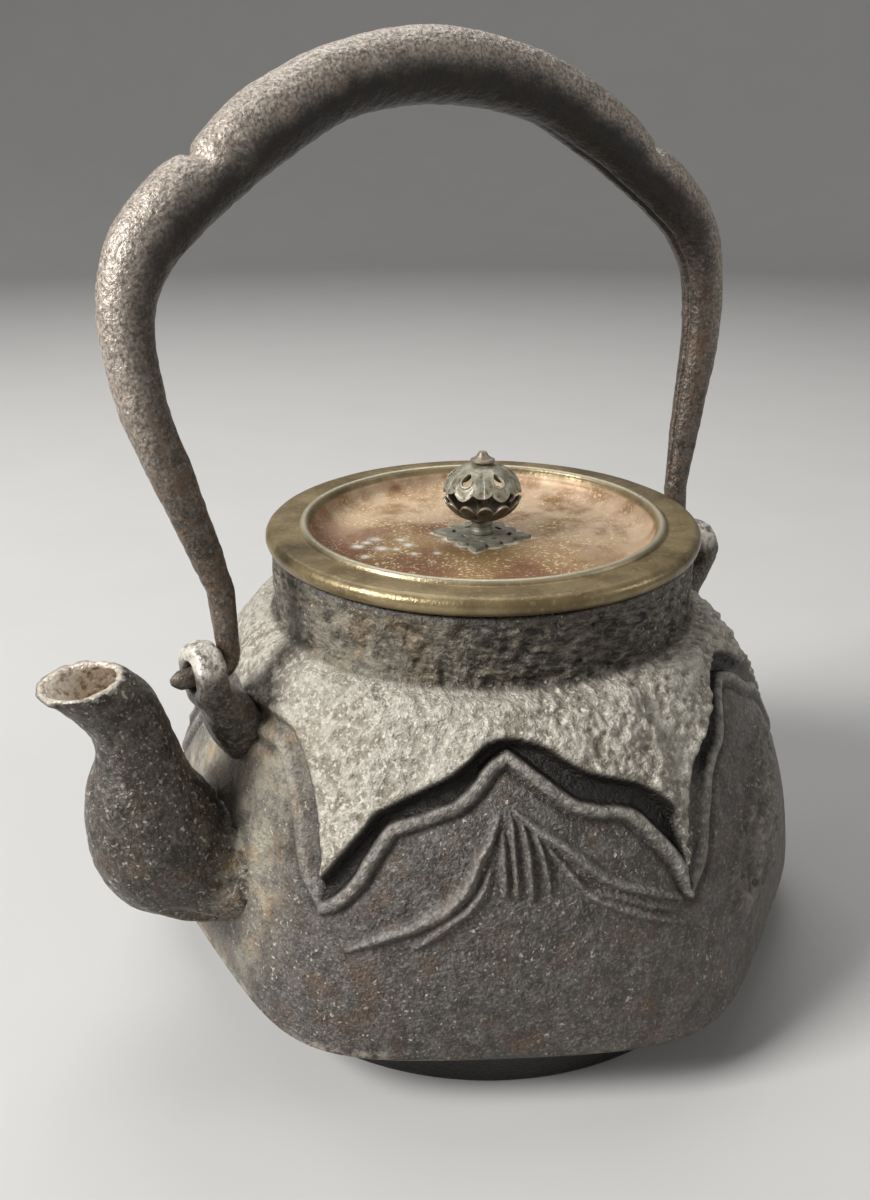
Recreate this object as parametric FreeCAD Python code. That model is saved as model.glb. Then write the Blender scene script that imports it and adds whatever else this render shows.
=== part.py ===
"""A six-sided cast iron kettle with a bow handle, a lid and a pierced bud knob.

Millimetres, +Z up. The origin is the middle of the foot, on the surface the kettle stands on.
The spout points along -X, and the handle swings about an axis along X.
"""
import FreeCAD, Part
import math
import os

V = FreeCAD.Vector

# Body
sides = 6
foot_radius = 69.0
foot_taper = 2.0
foot_height = 9.0
base_edge_height = 15.0
base_face_radius = 75.0
base_corner_radius = 80.9
shoulder_height = 85.0
shoulder_radius = 49.5
neck_radius = 48.7
neck_height = 15.0
mouth_radius = 44.2
wall = 4.0
floor_thickness = 5.0
belly_power = 2.5
belly_root = 0.95
corner_fade = 0.78
corner_power = 1.3
corner_sharpness = 10.0

# Snow cap: a raised shoulder layer that ends in one mountain outline on each face
cap_rise = 2.8
cap_tip_height = 50.0
# Half outlines from a face's middle line outwards: distance from it, drop below the shoulder
gentle_edge = [(0.0, 5.6), (4.0, 6.9), (9.8, 11.6), (19.5, 16.4), (23.8, 19.5), (31.3, 28.6)]
bold_edge = [(0.0, 5.6), (8.6, 7.2), (14.3, 11.3), (21.3, 14.0), (28.0, 16.8), (33.7, 21.6)]
# Faces, counted from +X, that show the whole picture: one bold half outline and a ridge
pictured_faces = (1, 4)

# Bead: a raised line a little below the cap's edge, from half outlines of its own
bead_rise = 1.4
bead_width = 2.8
bead_tip_drop = 5.0
gentle_bead = [(0.0, 9.3), (6.0, 15.4), (13.8, 19.4), (18.6, 20.7), (25.5, 29.0), (30.5, 35.7)]
bold_bead = [(0.0, 9.3), (6.5, 13.2), (14.2, 17.9), (23.4, 19.3), (29.5, 23.9), (35.8, 30.9)]

# Ridge: raised strokes that taper to both ends, each through points like those above
ridge_rise = 1.1
ridge_width = 3.0
left_stroke = [(-0.8, 19.1), (-2.9, 24.6), (-9.9, 35.6), (-17.6, 40.0), (-32.4, 47.2)]
right_stroke = [(2.1, 19.7), (9.8, 24.4), (17.7, 30.8), (28.0, 37.4), (36.0, 42.5)]

# Spout: a bent, tapered tube
spout_wall = 2.4
spout_flare_radius = 17.2
spout_root_radius = 14.6
spout_waist_radius = 11.3
spout_throat_radius = 8.0
spout_lip_radius = 8.6
# Sections from the root to the lip: how far outside the base's face, height, direction
spout_sections = [(-9.0, 37.0, 10.0), (2.0, 40.0, 30.0), (9.2, 49.2, 58.0), (11.2, 61.5, 86.0),
                  (11.4, 72.2, 88.0), (14.8, 82.0, 78.0), (20.5, 88.3, 85.0)]

# Lugs
hinge_drop = 2.0
lug_inner_face = 67.2
lug_thickness = 6.4
lug_radius = 7.4
lug_cheek_drop = 9.0
lug_cheek_width = 14.0
lug_cheek_depth = 10.8
lug_cheek_lean = 6.5
lug_root_drop = 21.0
lug_root_width = 9.0
lug_root_depth = 15.0
lug_root_lean = 16.0
hook_clearance = 0.5

# Handle, in its own plane: heights are above the hinge
handle_lean = 8.4
hook_radius = 2.4
hook_leg_gap = 0.5
hook_bend = 3.6
hook_tip_reach = 4.0
bow_end_height = 17.0
bow_end_radius = 2.9
bow_wall = 1.6
bow_crown_height = 118.0
bow_crown_radius = 8.0
bow_notch_reach = 55.0
bow_notch_height = 96.8
bow_notch_radius = 6.7
bow_hip_reach = 75.3
bow_hip_height = 72.0
bow_hip_radius = 6.1

# Lid
lid_overhang = 1.3
lid_rim_thickness = 4.1
lid_rim_round = 1.9
lid_bead_radius = 41.2
lid_bead_round = 1.0
lid_plate_radius = 39.4
lid_plate_thickness = 1.7
lid_plate_sink = 0.6
lid_pan_wall = 1.5
lid_seat_gap = 0.3
skirt_depth = 8.0
skirt_wall = 2.0
skirt_clearance = 0.6

# Knob
rivet_radius = 1.2
rivet_clearance = 0.05
rivet_head_radius = 1.5
rivet_head_flat = 0.9
rivet_head_height = 1.1
rivet_tail_radius = 2.0
rivet_tail_height = 0.9
washer_radius = 4.0
washer_thickness = 1.2
turning_gap = 0.15
seat_half_diagonal = 11.5
seat_thickness = 0.9
seat_scallop_radius = 1.9
seat_slot_radius = 0.55
seat_slot_length = 2.0
seat_slot_gap = 1.0
seat_turn = 35.0
collar_radius = 2.7
collar_waist = 2.0
collar_height = 3.0
collar_groove = 0.4
bud_radius = 8.8
bud_height = 13.6
bud_wall = 0.7
bud_roundness = 2.2
notch_tip_half_width = 0.25
calyx_petals = 12
calyx_height = 5.2
petal_notch_depth = 2.3
petal_notch_half_width = 1.3
cap_lobes = 6
cap_hem_height = 5.9
cap_hole_half_width = 1.0
cap_hole_half_height = 1.7
cap_hole_height = 9.2
lobe_notch_depth = 1.9
lobe_notch_half_width = 1.2
finial_radius = 2.8
finial_height = 1.5
finial_step_radius = 2.0

# Derived places
hinge_height = shoulder_height - hinge_drop
mouth_height = shoulder_height + neck_height
lid_bottom = mouth_height + lid_seat_gap
plate_top = lid_bottom - lid_plate_sink
plate_bottom = plate_top - lid_plate_thickness
seat_top = plate_top + seat_thickness
collar_bottom = seat_top + turning_gap
bud_bottom = collar_bottom + collar_height
bud_top = bud_bottom + bud_height
face_step = 360.0 / sides
half_face = math.radians(face_step / 2)


def belly_radius(height):
    """Radius of the plain wall at the middle of a face and at a corner."""
    rise = (height - base_edge_height) / (shoulder_height - base_edge_height)
    rise = min(max(rise, 0.0), 1.0)
    swell = (1.0 - rise ** belly_power) ** belly_root
    face = shoulder_radius + (base_face_radius - shoulder_radius) * swell
    fade = max(0.0, 1.0 - rise / corner_fade) ** corner_power
    return face, face + (base_corner_radius - base_face_radius) * fade


def corner_reach(off_face):
    """Radius of a polygon with rounded corners, against the same polygon's face radius."""
    nearness = [math.cos(off_face - 2 * half_face * i) for i in (-1, 0, 1)]
    return sum(max(0.0, share) ** corner_sharpness for share in nearness) ** (-1 / corner_sharpness)


def rounded_polygon(face, corner, height, points_per_side=6):
    """A closed curve that is flat on the faces and turns round the corners."""
    least = corner_reach(0.0)
    most = corner_reach(half_face)
    count = sides * points_per_side
    points = []
    for i in range(count):
        angle = 2 * math.pi * i / count
        off_face = (angle + half_face) % (2 * half_face) - half_face
        bulge = (corner_reach(off_face) - least) / (most - least)
        radius = face + (corner - face) * bulge
        points.append(V(radius * math.cos(angle), radius * math.sin(angle), height))
    curve = Part.BSplineCurve()
    curve.interpolate(points, PeriodicFlag=True)
    return Part.Wire(curve.toShape())


def belly(bottom, top, offset, levels=9):
    """Solid between two heights whose wall stands offset outside the plain wall."""
    wires = []
    for i in range(levels):
        height = bottom + (top - bottom) * i / (levels - 1)
        face, corner = belly_radius(height)
        wires.append(rounded_polygon(face + offset, corner + offset, height))
    return Part.makeLoft(wires, True, False)


def cylinder(radius, bottom, top):
    return Part.makeCylinder(radius, top - bottom, V(0, 0, bottom))


def revolved(points):
    """Solid turned about Z from a closed outline of (radius, height) points."""
    outline = [V(radius, 0, height) for radius, height in points]
    face = Part.Face(Part.makePolygon(outline + outline[:1]))
    return face.revolve(V(0, 0, 0), V(0, 0, 1), 360)


def turned(shape, angle, axis=V(0, 0, 1), centre=V(0, 0, 0)):
    copy = shape.copy()
    copy.rotate(centre, axis, angle)
    return copy


def outline(left, right, tip_height, drop=0.0):
    """Curve across the +X face, from corner to corner, through two half outlines lowered by drop."""
    corner = belly_radius(tip_height)[1]
    tip = (corner + cap_rise) * math.sin(half_face)
    points = [(-tip, tip_height - drop)]
    points += [(-along, shoulder_height - fall - drop) for along, fall in reversed(left[1:])]
    points += [(along, shoulder_height - fall - drop) for along, fall in right]
    points += [(tip, tip_height - drop)]
    curve = Part.BSplineCurve()
    curve.interpolate([V(0, along, height) for along, height in points])
    return curve


def relief_reach():
    """How far out from the axis the prisms that cut the relief run."""
    return base_corner_radius + 2 * cap_rise


def below(curve):
    """Prism on the +X face that holds everything under a curve across it."""
    start = curve.StartPoint
    end = curve.EndPoint
    corners = [end, V(0, end.y, 0), V(0, start.y, 0), start]
    wire = Part.Wire([curve.toShape()] + Part.makePolygon(corners).Edges)
    return Part.Face(wire).extrude(V(relief_reach(), 0, 0))


def on_every_face(plain, pictured):
    """One copy on each face, of the shape for its kind."""
    copies = []
    for i in range(sides):
        shape = pictured if i in pictured_faces else plain
        copies.append(turned(shape, face_step * i))
    return copies


def snow_cap():
    cap = belly(cap_tip_height, shoulder_height - cap_rise / 2, cap_rise)
    plain = below(outline(gentle_edge, gentle_edge, cap_tip_height))
    pictured = below(outline(gentle_edge, bold_edge, cap_tip_height))
    return cap.cut(on_every_face(plain, pictured))


def bead_strip(left, right):
    tip_height = cap_tip_height - bead_tip_drop
    upper = below(outline(left, right, tip_height, -bead_width / 2))
    lower = below(outline(left, right, tip_height, bead_width / 2))
    return upper.cut(lower)


def outline_bead():
    strips = on_every_face(bead_strip(gentle_bead, gentle_bead), bead_strip(gentle_bead, bold_bead))
    bottom = cap_tip_height - bead_tip_drop - 2 * bead_width
    layer = belly(bottom, shoulder_height - gentle_edge[0][1], bead_rise)
    return [layer.common(strip) for strip in strips]


def stroke_prism(stroke):
    """Prism on the +X face over a stroke that is widest in its middle."""
    path = [V(0, along, shoulder_height - fall) for along, fall in stroke]
    rails = []
    for half_width in (-ridge_width / 2, ridge_width / 2):
        rail = [path[0]]
        for before, here, after in zip(path, path[1:], path[2:]):
            run = after - before
            rail.append(here + V(0, -run.z, run.y).normalize() * half_width)
        rails.append(rail + path[-1:])
    edges = []
    for rail in (rails[0], rails[1][::-1]):
        curve = Part.BSplineCurve()
        curve.interpolate(rail)
        edges.append(curve.toShape())
    return Part.Face(Part.Wire(edges)).extrude(V(relief_reach(), 0, 0))


def ridge():
    """The raised strokes of the mountain on each pictured face."""
    falls = [fall for stroke in (left_stroke, right_stroke) for along, fall in stroke]
    bottom = shoulder_height - max(falls) - ridge_width
    layer = belly(bottom, shoulder_height - min(falls) + ridge_width, ridge_rise)
    strokes = []
    for stroke in (left_stroke, right_stroke):
        prism = stroke_prism(stroke)
        strokes += [layer.common(turned(prism, face_step * i)) for i in pictured_faces]
    return strokes


def outer_body():
    """The casting as a full block, before it is hollowed."""
    edge_face, edge_corner = belly_radius(base_edge_height)
    base_edge = rounded_polygon(edge_face, edge_corner, base_edge_height)
    foot_top = rounded_polygon(foot_radius, foot_radius, foot_height)
    foot_bottom = rounded_polygon(foot_radius - foot_taper, foot_radius - foot_taper, 0.0)
    base = Part.makeLoft([foot_bottom, foot_top, base_edge], True, True)
    block = belly(base_edge_height, shoulder_height, 0.0)
    neck = cylinder(neck_radius, shoulder_height - wall, mouth_height)
    return block.fuse([base, neck, snow_cap()] + outline_bead() + ridge())


def cavity():
    """The inside: the belly less its wall, the hollow of the foot and the mouth."""
    room = belly(base_edge_height + wall, shoulder_height - wall, -wall)
    well = cylinder(foot_radius - wall, floor_thickness, base_edge_height + 2 * wall)
    mouth = cylinder(mouth_radius, shoulder_height - 3 * wall, mouth_height + wall)
    return room.fuse([well, mouth])


def spout_stations(inset):
    """Reach, height, direction and radius of the spout's sections, root first."""
    radii = [spout_flare_radius] + [spout_root_radius] * 2 + [spout_waist_radius]
    radii += [spout_throat_radius] * 2 + [spout_lip_radius]
    stations = []
    for (outset, height, direction), radius in zip(spout_sections, radii):
        stations.append((base_face_radius + outset, height, direction, radius - inset))
    return stations


def ring(reach, height, direction, radius):
    """Circle in the plane of the spout, on the -X side."""
    angle = math.radians(direction)
    axis = V(-math.cos(angle), 0, math.sin(angle))
    return Part.Wire(Part.makeCircle(radius, V(-reach, 0, height), axis))


def spout_tube(inset):
    return Part.makeLoft([ring(*station) for station in spout_stations(inset)], True, False)


def spout_bore():
    """The way through the spout, run on into the body and out past the lip."""
    stations = spout_stations(spout_wall)
    root = ring(*stations[0])
    lip = ring(*stations[-1])
    inward = root.Edges[0].Curve.Axis * (-3 * wall)
    outward = lip.Edges[0].Curve.Axis * (2 * spout_wall)
    ends = [Part.Face(root).extrude(inward), Part.Face(lip).extrude(outward)]
    return spout_tube(spout_wall).fuse(ends)


def lug():
    """Ear on the -X side: a ring for the hook on a stem that leans out of the shoulder."""
    outer_face = V(-lug_inner_face - lug_thickness, 0, hinge_height)
    eye = Part.makeCylinder(lug_radius, lug_thickness, outer_face, V(1, 0, 0))
    root = stem_section(lug_inner_face - lug_root_lean, lug_root_depth, lug_root_width, lug_root_drop)
    cheek = stem_section(lug_inner_face - lug_cheek_lean, lug_cheek_depth, lug_cheek_width, lug_cheek_drop)
    top = stem_section(lug_inner_face, lug_thickness, 2 * lug_radius, hook_radius)
    return eye.fuse(Part.makeLoft([root, cheek, top], True, True))


def stem_section(reach, depth, width, drop, count=12):
    """Oval across the stem, from its inner face outwards, at a drop below the hinge."""
    points = []
    for i in range(count):
        angle = 2 * math.pi * i / count
        out = reach + depth / 2 + depth / 2 * math.cos(angle)
        points.append(V(-out, width / 2 * math.sin(angle), hinge_height - drop))
    curve = Part.BSplineCurve()
    curve.interpolate(points, PeriodicFlag=True)
    return Part.Wire(curve.toShape())


def hook_hole():
    length = lug_thickness + lug_root_depth
    start = V(-lug_inner_face - length, 0, hinge_height)
    return Part.makeCylinder(hook_radius + hook_clearance, 2 * length, start, V(1, 0, 0))


def hook_leg_reach():
    return lug_inner_face - hook_leg_gap - hook_radius


def hook():
    """Drawn end of the handle on the -X side: down the leg, round a bend and out through the lug."""
    leg = hook_leg_reach()
    bend_height = hinge_height + hook_bend
    corner = hook_bend * (1 - math.sqrt(0.5))
    top = V(-leg, 0, bend_height)
    mid = V(-leg - corner, 0, hinge_height + corner)
    low = V(-leg - hook_bend, 0, hinge_height)
    tip = V(-lug_inner_face - lug_thickness - hook_tip_reach, 0, hinge_height)
    path = Part.Wire([Part.Arc(top, mid, low).toShape(), Part.makeLine(low, tip)])
    rod = path.makePipeShell([Part.Wire(Part.makeCircle(hook_radius, top, V(0, 0, 1)))], True, False)
    end = V(-leg, 0, hinge_height + bow_end_height)
    length = bow_end_height - hook_bend
    return rod.fuse(Part.makeCone(bow_end_radius, hook_radius, length, end, V(0, 0, -1)))


def bow_stations():
    """Half of the bow, crown first: reach, height above the hinge and radius, and the notch's place."""
    crown = (0.0, bow_crown_height, bow_crown_radius)
    notch = (bow_notch_reach, bow_notch_height, bow_notch_radius)
    hip = (bow_hip_reach, bow_hip_height, bow_hip_radius)
    end = (hook_leg_reach(), bow_end_height, bow_end_radius)
    arch = [crown, between(crown, notch, 0.43, 6.2), between(crown, notch, 0.77, 4.7, 0.7)]
    cheek = [between(notch, hip, 0.34, 3.8, 1.0), between(notch, hip, 0.7, 3.6, 0.8)]
    leg = [between(hip, end, share, bulge) for share, bulge in ((0.28, 2.6), (0.52, 1.6), (0.74, 0.6))]
    return arch + [notch] + cheek + [hip] + leg + [end], len(arch)


def between(first, second, share, bulge, swell=0.0):
    """Point between two stations, pushed out to the convex side and swollen a little."""
    along = V(second[0] - first[0], second[1] - first[1], 0)
    out = V(-along.y, along.x, 0).normalize() * bulge
    radius = first[2] + (second[2] - first[2]) * share + swell
    return (first[0] + along.x * share + out.x, first[1] + along.y * share + out.y, radius)


def bow_ring(stations, i, inset, side):
    """Circle square to the bow's line at station i."""
    reach, height, radius = stations[i]
    before = stations[max(i - 1, 0)]
    after = stations[min(i + 1, len(stations) - 1)]
    along = V(side * (after[0] - before[0]), 0, after[1] - before[1])
    if i == 0:
        along = V(1, 0, 0)
    if i == len(stations) - 1:
        along = V(0, 0, 1)
    return Part.Wire(Part.makeCircle(radius - inset, V(side * reach, 0, hinge_height + height), along))


def bow_solid(inset):
    """Three lobes that meet at the two notches: the arch and a flank on each side."""
    stations, notch = bow_stations()
    left = [bow_ring(stations, i, inset, -1) for i in range(len(stations))]
    right = [bow_ring(stations, i, inset, 1) for i in range(len(stations))]
    arch = Part.makeLoft(left[notch:0:-1] + right[:notch + 1], True, False)
    flanks = [Part.makeLoft(rings[notch:], True, False) for rings in (left, right)]
    return arch.fuse(flanks)


def leaned(shape):
    """The handle rests leaning towards +Y."""
    return turned(shape, -handle_lean, V(1, 0, 0), V(0, 0, hinge_height))


def opposite(shape):
    return turned(shape, 180)


def lid_cover():
    rim_top = lid_bottom + lid_rim_thickness
    lid_radius = neck_radius + lid_overhang
    bore = rivet_radius + rivet_clearance
    pan_radius = lid_plate_radius + lid_pan_wall
    outline = [(bore, plate_bottom), (pan_radius, plate_bottom), (pan_radius, lid_bottom)]
    outline += [(lid_radius - lid_rim_round, lid_bottom)]
    outline += arc_points(lid_radius - lid_rim_round, lid_bottom + lid_rim_round, lid_rim_round, -90, 90)
    outline += [(lid_radius - lid_rim_round, rim_top)]
    outline += arc_points(lid_bead_radius, rim_top, lid_bead_round, 0, 180)
    outline += [(lid_plate_radius, plate_top), (bore, plate_top)]
    return revolved(outline)


def arc_points(radius, height, round_radius, start, stop, steps=6):
    points = []
    for i in range(steps + 1):
        angle = math.radians(start + (stop - start) * i / steps)
        points.append((radius + round_radius * math.cos(angle), height + round_radius * math.sin(angle)))
    return points


def lid_skirt():
    outer = mouth_radius - skirt_clearance
    bottom = lid_bottom - skirt_depth
    return cylinder(outer, bottom, lid_bottom).cut(cylinder(outer - skirt_wall, bottom, lid_bottom))


def seat_plate():
    """Square plate set on its corner, with scalloped edges and pierced slots."""
    inner = seat_half_diagonal - seat_scallop_radius
    corners = [V(inner, 0, 0), V(0, inner, 0), V(-inner, 0, 0), V(0, -inner, 0)]
    plate = Part.Face(Part.makePolygon(corners + corners[:1])).extrude(V(0, 0, seat_thickness))
    scallops = []
    slots = []
    for quarter in range(4):
        for share in (0.0, 0.25, 0.5, 0.75):
            spot = V(inner * (1 - share), inner * share, 0)
            disc = Part.makeCylinder(seat_scallop_radius, seat_thickness, spot)
            scallops.append(turned(disc, 90 * quarter))
        slots.append(turned(seat_slot(), 90 * quarter + 45))
        slots.append(turned(seat_slot(), 90 * quarter))
    bore = Part.makeCylinder(rivet_radius + rivet_clearance, seat_thickness)
    plate = plate.fuse(scallops).removeSplitter().cut(slots + [bore])
    plate.translate(V(0, 0, plate_top))
    return turned(plate, -seat_turn)


def seat_slot():
    """Slot square to the radius, just outside the collar."""
    reach = collar_radius + 2 * seat_slot_radius + seat_slot_gap
    half = seat_slot_length / 2
    slot = Part.makeBox(2 * seat_slot_radius, seat_slot_length, seat_thickness)
    slot.translate(V(reach - seat_slot_radius, -half, 0))
    return slot


def collar():
    half = collar_bottom + collar_height / 2
    return revolved([
        (rivet_radius, collar_bottom), (collar_radius, collar_bottom),
        (collar_radius, half - collar_groove), (collar_waist, half), (collar_radius, half + collar_groove),
        (collar_radius, bud_bottom), (rivet_radius, bud_bottom)])


def bud_radius_at(height):
    """Outer radius of the bud at a height above its bottom."""
    lift = 2 * height / bud_height - 1
    return bud_radius * math.sqrt(max(0.0, 1 - abs(lift) ** bud_roundness))


def bud_curve(bottom, top, inset, steps=9):
    """Points (radius, height) down the bud's side between two heights above its bottom."""
    points = []
    for i in range(steps + 1):
        height = bottom + (top - bottom) * i / steps
        points.append((max(rivet_radius, bud_radius_at(height) - inset), bud_bottom + height))
    return points


def wall_notches(count, bottom, depth, low_half_width, high_half_width):
    """Tapered cutters through the bud's wall, between its petals or lobes."""
    reach = bud_radius - max(low_half_width, high_half_width)
    cutter = Part.makeCone(low_half_width, high_half_width, depth, V(reach, 0, bud_bottom + bottom))
    return [turned(cutter, 360.0 * (i + 0.5) / count) for i in range(count)]


def calyx():
    """Cup of upward petals, closed round the rivet."""
    floor_top = bud_bottom + bud_wall
    outer = bud_curve(0.0, calyx_height, 0.0)
    inner = [point for point in bud_curve(0.0, calyx_height, bud_wall) if point[1] > floor_top]
    cup = revolved(outer + inner[::-1] + [(rivet_radius, floor_top)])
    start = calyx_height - petal_notch_depth
    return cup.cut(wall_notches(calyx_petals, start, petal_notch_depth,
                                notch_tip_half_width, petal_notch_half_width))


def cap():
    """Pierced dome with a lobed hem, closed round the rivet."""
    roof = bud_top - bud_wall
    outer = bud_curve(cap_hem_height, bud_height, 0.0)
    inner = [point for point in bud_curve(cap_hem_height, bud_height, bud_wall) if point[1] < roof]
    dome = revolved(outer + [(rivet_radius, roof)] + inner[::-1])
    spread = cap_hole_half_height - cap_hole_half_width
    holes = []
    for i in range(cap_lobes):
        for shift in (-spread, 0.0, spread):
            start = V(collar_radius, 0, bud_bottom + cap_hole_height + shift)
            drill = Part.makeCylinder(cap_hole_half_width, bud_radius, start, V(1, 0, 0))
            holes.append(turned(drill, 360.0 * i / cap_lobes))
    notches = wall_notches(cap_lobes, cap_hem_height, lobe_notch_depth,
                           lobe_notch_half_width, notch_tip_half_width)
    return dome.cut(holes + notches)


def finial():
    return revolved([
        (rivet_radius, bud_top), (finial_radius, bud_top), (finial_radius, bud_top + finial_height / 2),
        (finial_step_radius, bud_top + finial_height), (rivet_radius, bud_top + finial_height)])


def washer():
    top = plate_bottom - turning_gap
    disc = cylinder(washer_radius, top - washer_thickness, top)
    return disc.cut(cylinder(rivet_radius, top - washer_thickness, top))


def rivet():
    head = bud_top + finial_height
    tail = plate_bottom - turning_gap - washer_thickness
    return revolved([
        (0, tail - rivet_tail_height), (rivet_tail_radius, tail - rivet_tail_height / 2),
        (rivet_tail_radius, tail), (rivet_radius, tail), (rivet_radius, head),
        (rivet_head_radius, head), (rivet_head_flat, head + rivet_head_height),
        (0, head + rivet_head_height)])


def build():
    block = outer_body()
    body = block.cut([cavity(), spout_bore()])
    spout = spout_tube(0.0).cut([block, spout_bore()])
    front_lug = lug().cut([block, hook_hole()])
    rear_lug = opposite(lug()).cut([block, opposite(hook_hole())])
    bow = bow_solid(0.0).cut(bow_solid(bow_wall))
    return {
        "kettle_body": body,
        "spout": spout,
        "lug_front": front_lug,
        "lug_rear": rear_lug,
        "handle_bow": leaned(bow),
        "handle_hook_front": leaned(hook()),
        "handle_hook_rear": leaned(opposite(hook())),
        "lid_cover": lid_cover(),
        "lid_skirt": lid_skirt(),
        "knob_seat_plate": seat_plate(),
        "knob_collar": collar(),
        "knob_calyx": calyx(),
        "knob_cap": cap(),
        "knob_finial": finial(),
        "knob_rivet": rivet(),
        "rivet_washer": washer(),
    }


os.makedirs("parts", exist_ok=True)
for name, shape in build().items():
    box = shape.BoundBox
    print(name, "solids", len(shape.Solids), "valid", shape.isValid(), "volume", round(shape.Volume),
          "z", round(box.ZMin, 2), round(box.ZMax, 2), "x", round(box.XMin, 2), round(box.XMax, 2))
    shape.exportStep("parts/" + name + ".step")
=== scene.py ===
"""Looks of a six-sided cast iron kettle with a bow handle, a lid and a pierced bud knob.

Shapes are worked out in millimetres in the kettle's own frame, and meshes are stored in metres.
"""
import bpy
import math
import numpy as np
from mathutils import Matrix, Vector


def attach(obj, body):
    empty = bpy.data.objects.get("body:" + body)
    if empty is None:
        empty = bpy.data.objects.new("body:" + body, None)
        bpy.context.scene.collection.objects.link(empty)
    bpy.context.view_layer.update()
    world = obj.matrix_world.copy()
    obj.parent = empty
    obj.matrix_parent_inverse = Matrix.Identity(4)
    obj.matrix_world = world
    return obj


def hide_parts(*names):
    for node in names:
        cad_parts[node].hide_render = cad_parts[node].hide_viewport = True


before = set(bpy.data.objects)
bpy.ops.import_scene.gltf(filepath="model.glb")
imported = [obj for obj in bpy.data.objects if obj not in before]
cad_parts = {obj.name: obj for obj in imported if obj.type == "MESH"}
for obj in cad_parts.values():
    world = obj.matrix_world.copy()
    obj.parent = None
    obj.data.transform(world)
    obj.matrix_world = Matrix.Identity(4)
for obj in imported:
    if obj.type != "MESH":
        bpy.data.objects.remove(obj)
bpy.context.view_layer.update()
MM = 0.001

# Camera, from the photograph's lid, handle and base
IMAGE_HEIGHT = 1200
FOCAL_PIXELS = 1099.89
SENSOR = 36.0
CAMERA_DISTANCE = 243.36
CAMERA_HEIGHT = 186.3
CAMERA_HEADING = 54.67
CAMERA_YAW = -2.593
CAMERA_PITCH = 22.939
CAMERA_ROLL = -0.292
CAMERA_CLIP = 0.01

# Body
SIDES = 6
FOOT_RADIUS = 69.0
FOOT_TAPER = 2.0
FOOT_HEIGHT = 9.0
BASE_HEIGHT = 15.0
BASE_FACE = 75.0
BASE_CORNER = 80.7
CORNER_SHARPNESS = 10.0
# Powers of the belly's profile, and the share of its height at which the corners end, with their power
BELLY_POWERS = (2.5, 0.95)
CORNER_END = 0.78
CORNER_POWER = 1.3
SHOULDER_HEIGHT = 85.0
SHOULDER_RADIUS = 49.5
NECK_RADIUS = 48.6
MOUTH_RADIUS = 44.3
MOUTH_HEIGHT = 100.0
WALL = 4.0
FLOOR = 5.0
CAP_TOP = 81.5
CAP_RISE = 2.8
CAP_LIP = 0.3
CHANNEL_DEPTH = 0.7
BEAD_RISE = 1.3
BEAD_HALF_WIDTH = 1.55
BEAD_GROOVE = 0.5
# Columns of the body's mesh on each face, counted from +X, and the rows' spacing
FACE_COLUMNS = (50, 58, 54, 90, 194, 94)
LOW_WALL = 22.0
LOW_STEP = 1.05
WALL_STEP = 0.58
# Half outlines of the mountain, from a face's middle outwards: along the face, height
PLAIN_EDGE = [(0, 79.5), (6, 77.6), (13, 72.6), (19.5, 69.8), (24, 66.6), (29, 61.4), (33, 55.6),
              (37.9, 48.5)]
PLAIN_BEAD = [(0, 75.8), (5, 74), (12, 68.6), (18.5, 65.8), (22.5, 62.6), (27, 57.2), (31, 51.6),
              (37.9, 45.4)]
LUG_EDGE = [(0, 73), (8, 73.3), (13, 73.3), (16.2, 72.6), (20.5, 70.2), (25.2, 66), (29.2, 61.5),
            (33.1, 55.4), (37.9, 48.5)]
LUG_BEAD = [(0, 69.8), (9, 70), (14, 69.4), (18.5, 66.9), (23, 62.6), (27, 57.7), (31, 51.8),
            (37.9, 45.4)]
GENTLE_EDGE = [(0, 76.7), (3.4, 76.3), (5.4, 75.1), (8.3, 72.7), (11.3, 70.6), (19, 66.9), (22.9, 64.8),
               (24.9, 63.5), (28.8, 58.5), (34.9, 51.6), (37.9, 48.3)]
BOLD_EDGE = [(0, 76.7), (2.4, 76.5), (6.3, 75.6), (10.1, 73.3), (13.9, 71.2), (17.9, 69.5), (22, 68.4),
             (26.1, 66.6), (30.3, 63.7), (33.4, 60.6), (35.6, 56), (37.9, 48.5)]
GENTLE_BEAD = [(0, 74.8), (3.5, 73.1), (5.5, 70.7), (7.5, 68.7), (10.4, 66.7), (13.3, 65.6), (21, 62.7),
               (23, 61.5), (26, 57.3), (29.1, 52.5), (32.1, 48.9), (35.1, 46.4), (37.9, 45.2)]
BOLD_BEAD = [(0, 74.8), (2.4, 73.6), (5.2, 71.6), (9.9, 68), (12.8, 66.1), (17.8, 64.6), (21.9, 63.9),
             (25.1, 62.5), (28.1, 59.5), (31.3, 56.2), (34.5, 52.2), (37.9, 45.4)]
# Faces counted from +X: with the ridge lines and one bold half outline, with rocks, with a lug
RIDGE_FACES = (1, 4)
ROCK_FACES = (2, 5)
LUG_FACES = (0, 3)
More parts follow.
